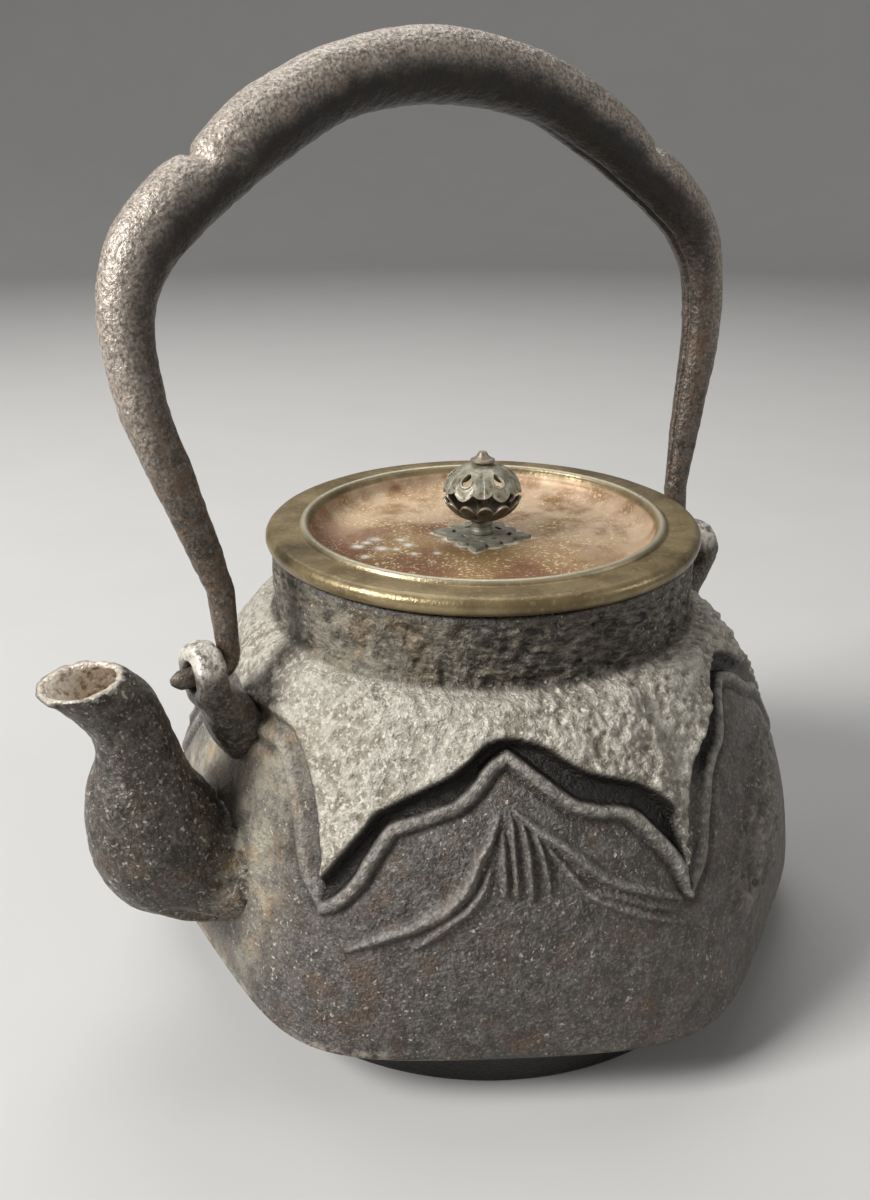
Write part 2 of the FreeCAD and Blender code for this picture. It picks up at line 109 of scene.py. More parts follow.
# Raised strokes on a face: points, half width, rise
RIDGE_STROKES = [
    ([(-1.8, 65.5), (-4.3, 60), (-5.9, 57.6), (-7.9, 53.4), (-10.9, 49.6), (-13.8, 47.3), (-23.5, 42.5),
      (-33, 38)], 1.9, 2.2),
    ([(-3.6, 56.5), (-5.1, 52.6), (-8, 48.8), (-11.9, 45.8), (-19.5, 40)], 1.5, 1.6),
    ([(0.5, 66.7), (5.8, 62.4), (9.6, 59.9), (15.5, 55.3), (19.5, 52.4), (25.7, 49.4),
      (36.8, 45)], 1.6, 2.2),
    ([(6.7, 60.1), (12.4, 53.4), (17.4, 49.1), (25.7, 44.7), (36.5, 40)], 1.3, 1.8),
    ([(13.4, 52.4), (17.4, 50.5), (25.7, 47), (36, 42.5)], 1.1, 1.4),
    ([(-1.4, 63), (-1.2, 56.1), (-0.9, 50.5)], 1.0, 1.5),
    ([(0.4, 65.5), (0.8, 57.8), (1.4, 50)], 0.9, 1.4),
    ([(2, 65.5), (3.4, 59.5), (4.2, 49.8)], 1.0, 1.6),
    ([(3.6, 65.3), (5.9, 59.3), (7.9, 50.5)], 0.9, 1.4),
]
ROCK_STROKES = [
    ([(16, 59), (5, 54), (-6, 47), (-15, 40), (-27, 33)], 9.0, 2.2),
    ([(10, 61.5), (-1, 58.5), (-10, 52), (-20, 46), (-29, 36.5)], 2.2, 1.6),
    ([(6, 50), (-2, 41), (-8, 32)], 4.5, 2.0),
]
# Stains round the spout's root and beside the front lug, and painted sheen on the neck's left side
ROOT_PLACE = (-73.0, 0.0, 38.0)
ROOT_RING = 23.0
ROOT_RING_WIDTH = 5.5
WASH_PLACE = 13.0
WASH_WIDTH = 11.0
NECK_SHEEN_ANGLE = 200.0

# Spout sections from the root to the lip: reach, height, direction in degrees, outer radius
SPOUT_SECTIONS = [(66, 37, 10, 17.2), (77, 40, 30, 14.6), (84.2, 49.2, 58, 14.6),
                  (86.2, 61.5, 86, 11.3), (86.4, 72.2, 88, 8.0), (89.8, 82, 78, 8.0),
                  (95.5, 88.3, 85, 8.6)]
SPOUT_WALL = 1.7
SPOUT_STEP = 0.55
SPOUT_BORE_STEP = 2.0
SPOUT_COLUMNS = 144
# Folds, flare and undercut of the spout's root
FOLD_HEIGHT = 1.1
FOLD_PLACE = 11.0
FOLD_REACH = 6.0
ROOT_FLARE = 3.0
ROOT_UNDERCUT = 1.9

# Handle: half of the bow from the crown, as reach, height above the hinge and radius
HINGE_HEIGHT = 83.0
HANDLE_LEAN = 8.4
BOW_ARCH = [(0, 118, 7.6), (23.8, 114.6, 7.2), (42.0, 106.2, 7.4), (55, 96.8, 6.5)]
BOW_FLANK = [(55, 96.8, 6.5), (62.6, 91.8, 6.9), (70.9, 83.6, 6.4), (75.3, 72, 5.4), (74.6, 56.2, 4.8),
             (71.2, 43.0, 4.3), (67.9, 30.9, 3.7), (64.3, 17, 2.8)]
BOW_STEP = 0.55
BOW_COLUMNS = 96
NOTCH_DEPTH = 1.3
NOTCH_HALF_WIDTH = 1.6
SEAM_DEPTH = 0.9
SEAM_HALF_WIDTH = 0.55
HOOK_LEG = 64.3
HOOK_RADIUS = 2.4
HOOK_SHOULDER = 17.0
HOOK_SHOULDER_RADIUS = 2.9
HOOK_BEND = 3.6
HOOK_TIP = 77.6
HOOK_TOP = 19.0
HOOK_TOP_RADIUS = 2.5
# Rounding of the hook's tip, and the length over which it thins to a share of its radius
HOOK_ROUNDING = 2.0
HOOK_TAPER_LENGTH = 9.0
HOOK_TAPER = 0.8
HOOK_STEP = 0.6
HOOK_COLUMNS = 40
# The two ends of handle and lugs: side along X, name
ENDS = ((-1, "front"), (1, "rear"))

# Lug: the eye round the hook, and ovals up its stem as inner reach, depth, width and height
LUG_INNER_FACE = 67.2
LUG_THICKNESS = 6.4
LUG_RADIUS = 7.4
LUG_HOLE = 2.9
LUG_OVALS = [(50.0, 15.5, 9.0, 61.0), (55.5, 14.0, 11.5, 67.0), (60.0, 11.6, 13.6, 74.0),
             (65.0, 8.6, 14.4, 79.0), (67.2, 6.4, 14.4, 80.5)]
LUG_STEP = 0.8
LUG_VOXEL = 0.42

# Lid and knob
LID_BOTTOM = 100.3
LID_RADIUS = 50.0
LID_EDGE = 2.0
LID_COLUMNS = 320
LID_STEP = 0.5
RIM_TOP = 104.4
PLATE_TOP = 99.7
PLATE_BOTTOM = 98.0
PAN_RADIUS = 40.9
PLATE_RADIUS = 39.4
DISH_REACH = 6.5
DISH_TOP = RIM_TOP - 1.2
DISH_DEPTH = DISH_TOP - PLATE_TOP
LID_BEAD_RADIUS = 41.2
RIVET_BORE = 1.25
RIVET_RADIUS = 1.2
SEAT_THICKNESS = 0.9
SEAT_HALF_DIAGONAL = 11.5
SEAT_TURN = -42.0
SEAT_BEVEL = 0.12
SEAT_SCALLOPS = 12
SEAT_WAIST = 0.76
SEAT_SCALLOP = 0.23
# Points round the seat's outline, each of its holes and its bore
SEAT_POINTS = (240, 16, 24)
# Oval holes of the seat: count, reach of the corner and side ones, half sizes outwards and across
SEAT_HOLES = 8
SEAT_HOLE_REACH = (6.4, 4.9)
SEAT_HOLE_HALF = (0.65, 1.25)
# Pale marks left by drops on the lid's plate: place and half width
DUST_SPOTS = [(-27.7, 9.6, 1.3), (-24.8, 10.8, 1.0), (-22.0, 11.6, 1.2), (-23.9, 5.5, 1.4),
              (-21.3, 3.2, 0.9), (-17.2, 8.0, 1.0), (-17.6, 4.2, 1.1), (-29.5, 3.0, 1.0),
              (-19.5, -1.5, 0.9), (-15.0, -4.0, 0.8)]
COLLAR_BOTTOM = 100.75
BUD_BOTTOM = 103.75
BUD_RADIUS = 8.8
BUD_HEIGHT = 13.6
BUD_WALL = 0.7
BUD_POWER = 2.2
BUD_TOP = BUD_BOTTOM + BUD_HEIGHT
# Roundness of the scallops of seat, cap and calyx
SCALLOP_POWER = 0.6
CAP_LOBES = 6
HEM_TOP = 8.9
HEM_DROP = 1.75
HEM_UNEVEN = 0.45
HEM_RISE = 0.3
HOLE_HEIGHT = 11.1
HOLE_HALF_WIDTH = 1.1
HOLE_HALF_HEIGHT = 1.15
HOLE_RIM_RISE = 0.25
CAP_SEAM_DEPTH = 0.22
CAP_TURN = 25.0
CALYX_PETALS = 12
PETAL_LOW = 3.2
PETAL_RISE = 2.3
PETAL_FLARE = 0.45
PETAL_CREASE = 0.35
TURNING_STEP = 0.12

# Stage
FLOOR_RADIUS = 1500.0
FLOOR_SWEEP = 800.0
BACKDROP_HEIGHT = 1500.0
FLOOR_RINGS = (800.0, 200.0, 1.0)
FLOOR_COLUMNS = 96
# Lamps: name, metres towards the photograph's left, towards the camera and up, size, power
LAMPS = [("key", 1.0, 0.52, 0.92, 0.5, 24.0), ("top", 0.1, -0.5, 1.0, 0.8, 4.5),
         ("fill", -0.8, 0.7, 0.5, 1.0, 1.0), ("side", -1.0, 0.1, 0.55, 0.3, 1.2)]
LAMP_AIM = (0, 0, 0.08)
WORLD_COLOUR = (0.9, 0.92, 0.95, 1)
WORLD_STRENGTH = 0.14


# Numbers and noise

def smoothstep(low, high, value):
    share = np.clip((value - low) / (high - low), 0.0, 1.0)
    return share * share * (3.0 - 2.0 * share)


def bump(value, half_width):
    return np.exp(-(value / half_width) ** 2)


def noise(points, size, seed):
    """Smooth noise from -1 to 1, with cells of the given size in millimetres."""
    table = np.random.default_rng(seed).uniform(-1, 1, (32, 32, 32))
    cell = points / size
    base = np.floor(cell).astype(int)
    share = smoothstep(0, 1, cell - base)
    total = np.zeros(points.shape[:-1])
    for corner in range(8):
        step = np.array([corner & 1, corner >> 1 & 1, corner >> 2])
        weight = np.prod(np.where(step, share, 1 - share), axis=-1)
        index = (base + step) % 32
        total += weight * table[index[..., 0], index[..., 1], index[..., 2]]
    return total


def fractal(points, size, octaves, seed, shape=lambda value: value):
    """Noise summed over octaves, each half the size and half the height of the last."""
    return sum(shape(noise(points, size / 2 ** octave, seed + octave)) / 2 ** octave
               for octave in range(octaves))


def ridged(points, size, octaves, seed):
    """Noise with sharp crests, from about 0 to 1."""
    return fractal(points, size, octaves, seed, lambda value: 1 - np.abs(value) * 2) / 2


def spline(points, step):
    """Points about step apart on a smooth curve through rows of numbers."""
    knots = np.array(points, float)
    ends = np.vstack([2 * knots[0] - knots[1], knots, 2 * knots[-1] - knots[-2]])
    rows = []
    for i in range(len(knots) - 1):
        before, here, after, beyond = ends[i:i + 4]
        count = max(2, int(np.linalg.norm((after - here)[:2]) / step))
        t = np.arange(count)[:, None] / count
        square = 2 * before - 5 * here + 4 * after - beyond
        cube = 3 * here - before - 3 * after + beyond
        rows.append(0.5 * (2 * here + (after - before) * t + square * t ** 2 + cube * t ** 3))
    rows.append(knots[-1:])
    return np.vstack(rows)


def circle(count):
    """Angles all round, evenly spaced."""
    return np.linspace(0, 2 * np.pi, count, endpoint=False)


def round_axis(radius, angle, height):
    """Points at a radius, an angle and a height about Z."""
    return np.stack([radius * np.cos(angle), radius * np.sin(angle), height], -1)


def on_rows(grid, rows, values):
    """Values on some rows of a grid, and 0 on the others."""
    full = np.zeros(grid.shape[:2])
    full[rows] = values
    return full


# Meshes

def normals_of(grid, wrap_rows=False):
    """Unit normals of a grid of points whose columns go round."""
    along = np.gradient(grid, axis=0)
    if wrap_rows:
        along = np.roll(grid, -1, 0) - np.roll(grid, 1, 0)
    across = np.roll(grid, -1, 1) - np.roll(grid, 1, 1)
    normal = np.cross(across, along)
    length = np.linalg.norm(normal, axis=-1, keepdims=True)
    return normal / np.maximum(length, 1e-9)


def add_object(name, data):
    piece = bpy.data.objects.new(name, data)
    bpy.context.scene.collection.objects.link(piece)
    return piece


def add_mask(mesh, name, values):
    layer = mesh.attributes.new(name, "FLOAT", "POINT")
    layer.data.foreach_set("value", np.ravel(values).astype(np.float32))


def object_from(name, vertices, faces, masks=None):
    mesh = bpy.data.meshes.new(name)
    mesh.from_pydata((np.reshape(vertices, (-1, 3)) * MM).tolist(), [], faces)
    for label, values in (masks or {}).items():
        add_mask(mesh, label, values)
    mesh.shade_smooth()
    mesh.update()
    return add_object(name, mesh)


def applied(piece):
    """Piece with its modifiers worked into its mesh."""
    shown = piece.evaluated_get(bpy.context.evaluated_depsgraph_get())
    piece.data = bpy.data.meshes.new_from_object(shown)
    piece.modifiers.clear()
    return piece


def grid_faces(rows, columns, wrap_rows=False):
    """Quads of a grid whose columns go round, and whose rows do too if asked."""
    row = np.arange(rows if wrap_rows else rows - 1)[:, None]
    column = np.arange(columns)[None, :]
    after = (row + 1) % rows * columns
    beside = (column + 1) % columns
    here = row * columns
    quads = np.stack([here + column, here + beside, after + beside, after + column], -1)
    return quads.reshape(-1, 4).tolist()


def split_quads(quads, values):
    """Triangles of quads, cut along the diagonal whose ends are nearer in value."""
    quads = np.array(quads)
    ends = values.ravel()[quads]
    first = np.abs(ends[:, 0] - ends[:, 2]) <= np.abs(ends[:, 1] - ends[:, 3])
    turned = np.where(first[:, None], quads, np.roll(quads, -1, 1))
    return np.vstack([turned[:, [0, 1, 2]], turned[:, [0, 2, 3]]]).tolist()


def fan(ring_start, columns, centre, upwards):
    """Triangles from one row of a grid to a point."""
    pairs = [(ring_start + i, ring_start + (i + 1) % columns) for i in range(columns)]
    return [(*(pair if upwards else pair[::-1]), centre) for pair in pairs]


def closed_grid(name, grid, masks=None, guide=None):
    """Mesh of a grid whose end rows are closed with fans, and whose quads a guide's values cut."""
    rows, columns = grid.shape[:2]
    ends = np.array([grid[0].mean(0), grid[-1].mean(0)])
    vertices = np.vstack([grid.reshape(-1, 3), ends])
    faces = grid_faces(rows, columns)
    if guide is not None:
        faces = split_quads(faces, guide)
    count = rows * columns
    faces += fan(0, columns, count, False) + fan(count - columns, columns, count + 1, True)
    padded = {}
    for label, values in (masks or {}).items():
        padded[label] = np.append(values.ravel(), [values[0].mean(), values[-1].mean()])
    return object_from(name, vertices, faces, padded)


def ring_grid(name, grid, masks=None):
    """Mesh of a grid that goes round both ways."""
    return object_from(name, grid, grid_faces(*grid.shape[:2], True), masks)


def turned_grid(outline, columns):
    """Grid turned about Z from rows of (radius, height)."""
    outline = np.array(outline, float)
    return round_axis(outline[:, :1], circle(columns), np.repeat(outline[:, 1:2], columns, 1))


def dense_outline(points, step):
    """Dense copy of an outline of (radius, height) points, with straight runs."""
    points = np.array(points, float)
    rows = []
    for first, second in zip(points[:-1], points[1:]):
        count = max(1, int(np.linalg.norm(second - first) / step))
        rows.append(first + (second - first) * np.arange(count)[:, None] / count)
    rows.append(points[-1:])
    return np.vstack(rows)


def arc(radius, height, size, start, stop, steps=8):
    angle = np.radians(np.linspace(start, stop, steps + 1))
    return list(zip(radius + size * np.cos(angle), height + size * np.sin(angle)))


def dress(piece, body, slot, material, *nodes):
    """Rides a piece on a body, in place of the nodes it stands for."""
    piece.data.materials.clear()
    piece.data.materials.append(material)
    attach(piece, body)
    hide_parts(*nodes)


# Material nodes

class Shader:
    """A node material with one Principled shader and short calls for its inputs."""

    def __init__(self, name, roughness, metallic=0.0):
        self.material = bpy.data.materials.new(name)
        self.material.use_nodes = True
        self.tree = self.material.node_tree
        self.shader = self.tree.nodes["Principled BSDF"]
        self.shader.inputs["Metallic"].default_value = metallic
        self.rough(roughness)
        self.place = self.add("ShaderNodeTexCoord").outputs["Object"]

    def add(self, kind, inputs=None, **settings):
        """New node with its settings, and with inputs that are values or outputs of other nodes."""
        node = self.tree.nodes.new(kind)
        for key, value in settings.items():
            setattr(node, key, value)
        for key, value in (inputs or {}).items():
            self.put(node.inputs[key], value)
        return node

    def put(self, socket, value):
        if hasattr(value, "is_linked"):
            self.tree.links.new(value, socket)
        else:
            socket.default_value = value

    def attribute(self, name):
        return self.add("ShaderNodeAttribute", attribute_name=name).outputs["Fac"]

    def noise(self, size, detail=4.0, roughness=0.55, stretch=(1, 1, 1)):
        """Noise with features of the given size in millimetres."""
        scaled = self.add("ShaderNodeMapping", {"Vector": self.place, "Scale": stretch})
        return self.add("ShaderNodeTexNoise", {
            "Vector": scaled.outputs["Vector"], "Scale": 1 / (size * MM), "Detail": detail,
            "Roughness": roughness}).outputs["Fac"]

    def span(self, value, low, high, to_low=0.0, to_high=1.0):
        """Value moved from one range to another, and held inside it."""
        return self.add("ShaderNodeMapRange", {
            "Value": value, "From Min": low, "From Max": high, "To Min": to_low, "To Max": to_high},
            interpolation_type="SMOOTHSTEP").outputs["Result"]

    def math(self, operation, first, second):
        node = self.add("ShaderNodeMath", {0: first, 1: second}, operation=operation)
        return node.outputs["Value"]

    def mix(self, share, first, second):
        node = self.add("ShaderNodeMix", {"Factor": share}, data_type="RGBA")
        colours = [socket for socket in node.inputs if socket.type == "RGBA"]
        for socket, colour in zip(colours, (first, second)):
            self.put(socket, colour if hasattr(colour, "is_linked") else (*colour, 1.0))
        return [socket for socket in node.outputs if socket.type == "RGBA"][0]

    def patches(self, settings, *limits):
        """Noise of the given settings, held between limits as span does."""
        return self.span(self.noise(*settings), *limits)

    def masked(self, mask, settings, *limits):
        """Patches where a mask is."""
        return self.math("MULTIPLY", self.attribute(mask), self.patches(settings, *limits))

    def mottled(self, settings, low, high, first, second):
        """One colour with patches of another."""
        return self.mix(self.patches(settings, low, high), first, second)

    def layers(self, colour, *layers):
        """Colour with others laid over it in turn, each as a share or a mask's name, and a colour."""
        for share, tone in layers:
            if isinstance(share, str):
                share = self.attribute(share)
            colour = self.mix(share, colour, tone)
        return colour

    def rough(self, value):
        self.put(self.shader.inputs["Roughness"], value)

    def finished(self, colour, *relief):
        """Material in its colour, with bumps given as a noise's settings and a depth in millimetres."""
        self.put(self.shader.inputs["Base Color"], colour)
        normal = None
        for settings, depth in relief:
            node = self.add("ShaderNodeBump", {"Height": self.noise(*settings), "Distance": depth * MM})
            if normal:
                self.put(node.inputs["Normal"], normal)
            normal = node.outputs["Normal"]
        if normal:
            self.put(self.shader.inputs["Normal"], normal)
        return self.material


def iron_tone(shader, dark, light, rust_share=0.4):
    """Dark iron: soft mottling, fine pores, fine pale grains painted as glints, and rust tints."""
    fine = shader.noise(0.75, 2.0, 0.6)
    return shader.layers(
        shader.mottled((4.0, 6.0, 0.7), 0.34, 0.66, dark, light),
        (shader.span(fine, 0.36, 0.5, 0.7, 0.0), dark),
        # Fine pale grains: painted glints
        (shader.span(fine, 0.54, 0.7, 0.0, 0.6), [1.9 * part for part in light]),
        (shader.patches((7.0, 5.0), 0.5, 0.72, 0.0, rust_share), (0.17, 0.095, 0.052)))


def with_specks(shader, colour, low, tone, spread=0.42):
    """Small pale specks in loose groups."""
    specks = shader.patches((1.1, 1.0), low, low + 0.04)
    groups = shader.patches((16.0, 3.0), spread, spread + 0.18, 0.0, 0.8)
    return shader.mix(shader.math("MULTIPLY", specks, groups), colour, tone)


def body_material():
    shader = Shader("body_iron", 0.42, 0.25)
    wall = iron_tone(shader, (0.075, 0.064, 0.055), (0.185, 0.168, 0.15), 0.5)
    # Snow cap: a pale coat whose paleness is partly painted sheen. It is darker in the grain's pits as
    # painted shade, and paler on its crests as wear and painted highlight
    deep = shader.span(shader.attribute("grain"), 0.25, 0.62)
    snow = shader.layers(
        shader.mix(deep, (0.31, 0.27, 0.21), (0.57, 0.525, 0.44)),
        (shader.patches((24.0, 3.0), 0.4, 0.65, 0.0, 0.5), (0.62, 0.585, 0.50)),
        (shader.patches((1.1, 2.0, 0.65), 0.5, 0.66), (0.74, 0.70, 0.60)),
        (shader.patches((0.9, 3.0), 0.36, 0.46, 0.4, 0.0), (0.15, 0.12, 0.088)))
    # Beads and stroke crests paler: wear, and painted highlight
    crest_wear_and_highlight = shader.mottled((1.5, 3.0), 0.35, 0.65, (0.22, 0.20, 0.175), (0.47, 0.44, 0.385))
    streaks = (3.0, 6.0, 0.7, (1, 1, 2.5))
    neck = shader.mottled(streaks, 0.4, 0.68, (0.02, 0.016, 0.013), (0.27, 0.235, 0.18))
    cream = shader.mottled((9.0, 3.0), 0.46, 0.64, (0.52, 0.475, 0.37), (0.55, 0.40, 0.24))
    # The channel under the snow's edge and the groove under the bead are painted near black: painted
    # shade from the overhanging cap, with dark patina. They are also glossier
    shader.rough(shader.span(shader.attribute("shaded_channel"), 0.0, 1.0, 0.42, 0.25))
    colour = shader.layers(
        with_specks(shader, wall, 0.67, (0.70, 0.61, 0.47)),
        ("snow", snow),
        ("bead", crest_wear_and_highlight),
        ("shaded_channel", (0.022, 0.018, 0.0145)),
        # The neck's pale specks: grit, and painted glints
        ("neck", with_specks(shader, neck, 0.65, (0.55, 0.5, 0.4))),
        # Painted shade: the foot and underside near black
        ("under_shade", (0.014, 0.0125, 0.011)),
        # Cream stains on the wall, and painted sheen on the neck's lit left side
        (shader.masked("stain_and_sheen", (5.0, 6.0, 0.7), 0.34, 0.62, 0.15, 0.95), cream),
        # Painted highlight along the base edge
        (shader.masked("edge", (2.4, 5.0), 0.4, 0.56), (0.62, 0.55, 0.44)))
    return shader.finished(colour, ((1.8, 5.0, 0.65), 1.05), ((0.6, 2.0), 0.3))


def spout_material():
    shader = Shader("spout_iron", 0.4, 0.25)
    iron = iron_tone(shader, (0.04, 0.033, 0.028), (0.16, 0.14, 0.117))
    deposit = shader.mottled((1.6, 5.0), 0.34, 0.54, (0.36, 0.25, 0.17), (0.86, 0.77, 0.65))
    stain = shader.mottled((9.0, 3.0), 0.46, 0.64, (0.40, 0.365, 0.285), (0.44, 0.31, 0.18))
    colour = shader.layers(
        with_specks(shader, iron, 0.64, (0.60, 0.52, 0.41), 0.34),
        ("inside", deposit),
        (shader.masked("root", (3.0, 6.0, 0.7), 0.36, 0.62), stain),
        (shader.masked("lip", (2.2, 4.0), 0.42, 0.56), (0.62, 0.57, 0.48)))
    return shader.finished(colour, ((1.6, 4.0), 0.75), ((0.6, 2.0), 0.2))


def handle_material():
    shader = Shader("handle_iron", 0.42, 0.3)
    colour = shader.layers(
        iron_tone(shader, (0.06, 0.047, 0.038), (0.18, 0.152, 0.126), 0.55),
        # Paler on the outward side of the bow's middle: pale dust, and painted sheen where the lamps
        # light it
        (shader.masked("pale_and_sheen", (0.75, 3.0, 0.6), 0.32, 0.66, 0.25, 0.95), (0.585, 0.505, 0.425)),
        # Painted shade: the underside of the bow near black
        ("under_shade", (0.012, 0.0095, 0.008)),
        (shader.masked("rusty", (1.3, 4.0), 0.5, 0.62, 0.0, 0.7), (0.21, 0.135, 0.08)))
    return shader.finished(colour, ((1.7, 4.0), 0.5), ((0.7, 2.0), 0.2))


def lug_material():
    shader = Shader("lug_iron", 0.4, 0.25)
    colour = shader.layers(
        iron_tone(shader, (0.05, 0.041, 0.034), (0.20, 0.175, 0.145)),
        # Upper half of the lug paler: wear, and painted highlight on its top
        (shader.masked("pale_and_sheen", (2.2, 5.0, 0.7), 0.36, 0.54, 0.12, 1.0), (0.84, 0.79, 0.68)))
    return shader.finished(colour, ((1.5, 4.0), 0.45), ((0.6, 2.0), 0.15))


def lid_material():
    shader = Shader("lid_bronze", 0.34, 0.5)
    rim = shader.mottled((14.0, 5.0), 0.34, 0.66, (0.175, 0.125, 0.056), (0.34, 0.26, 0.135))
    groups = shader.patches((10.0, 4.0), 0.36, 0.6, 0.15, 1.0)
    flecks = shader.math("MULTIPLY", groups, shader.patches((0.7, 2.0), 0.56, 0.66))
    plate = shader.layers(
        shader.mottled((20.0, 5.0), 0.36, 0.62, (0.23, 0.105, 0.052), (0.40, 0.25, 0.11)),
        # Plate paler towards its right and back: cream deposit, and painted sheen
        (shader.masked("pale", (8.0, 5.0), 0.3, 0.6), (0.70, 0.53, 0.36)),
        (flecks, (0.86, 0.72, 0.47)),
        (shader.masked("ring", (11.0, 4.0), 0.36, 0.6, 0.2, 0.85), (0.29, 0.14, 0.085)))
    shine = shader.patches((6.0, 4.0), 0.3, 0.7, 0.28, 0.44)
    shader.rough(shader.math("ADD", shine, shader.math("MULTIPLY", shader.attribute("plate"), 0.2)))
    colour = shader.layers(
        rim,
        (shader.patches((1.2, 3.0), 0.52, 0.7, 0.0, 0.35), (0.46, 0.40, 0.27)),
        ("plate", plate),
        # Top of the bead pale: its own pale metal, and painted highlight
        ("bead", (0.56, 0.50, 0.36)),
        (shader.masked("dust", (1.8, 5.0), 0.3, 0.44), (0.90, 0.88, 0.78)))
    return shader.finished(colour, ((1.1, 3.0), 0.1), ((0.5, 2.0), 0.05))


def knob_material(name, roughness, dark, light, rim, stained=0.7):
    shader = Shader(name, roughness, 0.35)
    colour = shader.layers(
        shader.mottled((2.2, 5.0), 0.32, 0.68, dark, light),
        (shader.patches((0.9, 3.0), 0.3, 0.42, stained, 0.0), (0.05, 0.046, 0.035)),
        ("rim", rim))
    return shader.finished(colour, ((0.6, 3.0), 0.07))


# Kettle body

def belly_radius(height):
    """Radius of the plain wall at the middle of a face and at a corner."""
    rise = np.clip((height - BASE_HEIGHT) / (SHOULDER_HEIGHT - BASE_HEIGHT), 0, 1)
    inner, outer = BELLY_POWERS
    face = SHOULDER_RADIUS + (BASE_FACE - SHOULDER_RADIUS) * (1 - rise ** inner) ** outer
    return face, face + (BASE_CORNER - BASE_FACE) * np.maximum(0, 1 - rise / CORNER_END) ** CORNER_POWER


def wall_lengths():
    """Heights up the wall, and the length of its profile up to each of them."""
    fine = np.linspace(BASE_HEIGHT, SHOULDER_HEIGHT, 2000)
    radius = belly_radius(fine)[0]
    return fine, np.append(0, np.cumsum(np.hypot(np.diff(radius), np.diff(fine))))


def up_the_wall(height):
    """Length along the wall from the base edge up to a height; the neck goes straight on."""
    fine, length = wall_lengths()
    return np.interp(height, fine, length) + np.maximum(0, height - SHOULDER_HEIGHT)


def wall_heights():
    """Heights up the wall's profile, from the base edge to the neck, closer where it has relief."""
    fine, length = wall_lengths()
    low = np.arange(0, LOW_WALL, LOW_STEP)
    high = np.linspace(LOW_WALL, length[-1], int((length[-1] - LOW_WALL) / WALL_STEP))
    return np.interp(np.append(low, high), length, fine)


def round_rows(pairs):
    """Rows that stand as far out at a corner as on a face."""
    return [(radius, radius, height) for radius, height in pairs]


def body_rows():
    """Rows of the casting from the middle of its foot, up outside and down inside.

    Each row is its radius on a face, its radius at a corner and its height.
    """
    low = FOOT_RADIUS - FOOT_TAPER
    rows = round_rows((radius, 0.0) for radius in (20, 45, 60, low - 2, low - 0.7))
    rows += round_rows([(low - 0.15, 0.25), (low + 0.1, 0.9)])
    rows += round_rows((low + FOOT_TAPER * height / FOOT_HEIGHT, height)
                       for height in (2.5, 4.5, 6.5, 8.2))
    for share in (0.04, 0.2, 0.4, 0.6, 0.8, 0.92):
        rows.append((FOOT_RADIUS + (BASE_FACE - FOOT_RADIUS) * share,
                     FOOT_RADIUS + (BASE_CORNER - FOOT_RADIUS) * share,
                     FOOT_HEIGHT + (BASE_HEIGHT - 0.5 - FOOT_HEIGHT) * share))
    wall_start = len(rows)
    rows += [(*belly_radius(height), height) for height in wall_heights()]
    neck = np.arange(SHOULDER_HEIGHT + WALL_STEP, MOUTH_HEIGHT - 1.2, WALL_STEP)
    rows += round_rows((NECK_RADIUS, height) for height in neck)
    neck_end = len(rows)
    rim = [(NECK_RADIUS, -0.8), (NECK_RADIUS - 0.25, -0.25), (NECK_RADIUS - 0.8, 0.0),
           (MOUTH_RADIUS + 0.8, 0.0), (MOUTH_RADIUS + 0.25, -0.25), (MOUTH_RADIUS, -0.8)]
    rows += round_rows((radius, MOUTH_HEIGHT + drop) for radius, drop in rim)
    rows += round_rows((MOUTH_RADIUS, height) for height in (96, 92, 88, 84, 81))
    for height in (78, 74, 68, 60, 50, 40, 30, 22):
        face, corner = belly_radius(height)
        rows.append((face - WALL, corner - WALL, height))
    rows += round_rows([(66, 17.5), (64.5, 13), (64, 8), (62, FLOOR + 0.6), (58, FLOOR), (30, FLOOR)])
    return np.array(rows, float), wall_start, neck_end


def wall_line(points):
    """Smooth line on a face through points given by their place along it and their height."""
    return spline([(place, up_the_wall(height)) for place, height in points], 1.0)


def nearest(along, up, path):
    """Distance from places on a face to a line, and the share of the line at which it is nearest."""
    gap = np.full(along.shape, 1e9)
    where = np.zeros(along.shape)
    for i, (first, second) in enumerate(zip(path[:-1], path[1:])):
        run = second - first
        share = ((along - first[0]) * run[0] + (up - first[1]) * run[1]) / (run @ run)
        share = np.clip(share, 0, 1)
        here = np.hypot(along - first[0] - share * run[0], up - first[1] - share * run[1])
        closer = here < gap
        gap = np.where(closer, here, gap)
        where = np.where(closer, (i + share) / (len(path) - 1), where)
    return gap, where


def above_line(along, up, points):
    """Distance above an outline, and negative below it."""
    path = wall_line(points)
    gap = nearest(along, up, path)[0]
    return np.where(up > np.interp(along, path[:, 0], path[:, 1]), gap, -gap)


def strokes_height(along, up, strokes):
    """Raised strokes that swell from both ends."""
    total = np.zeros(along.shape)
    for points, half_width, rise in strokes:
        gap, share = nearest(along, up, wall_line(points))
        swell = np.clip(4 * share * (1 - share), 0.02, 1) ** 0.35
        total = np.maximum(total, rise * swell * np.clip(1 - gap / (half_width * swell), 0, 1))
    return total


def face_places(angle):
    """Face that each angle lies on, and the angle from that face's middle."""
    half = math.pi / SIDES
    return np.round(angle / (2 * half)).astype(int) % SIDES, (angle + half) % (2 * half) - half


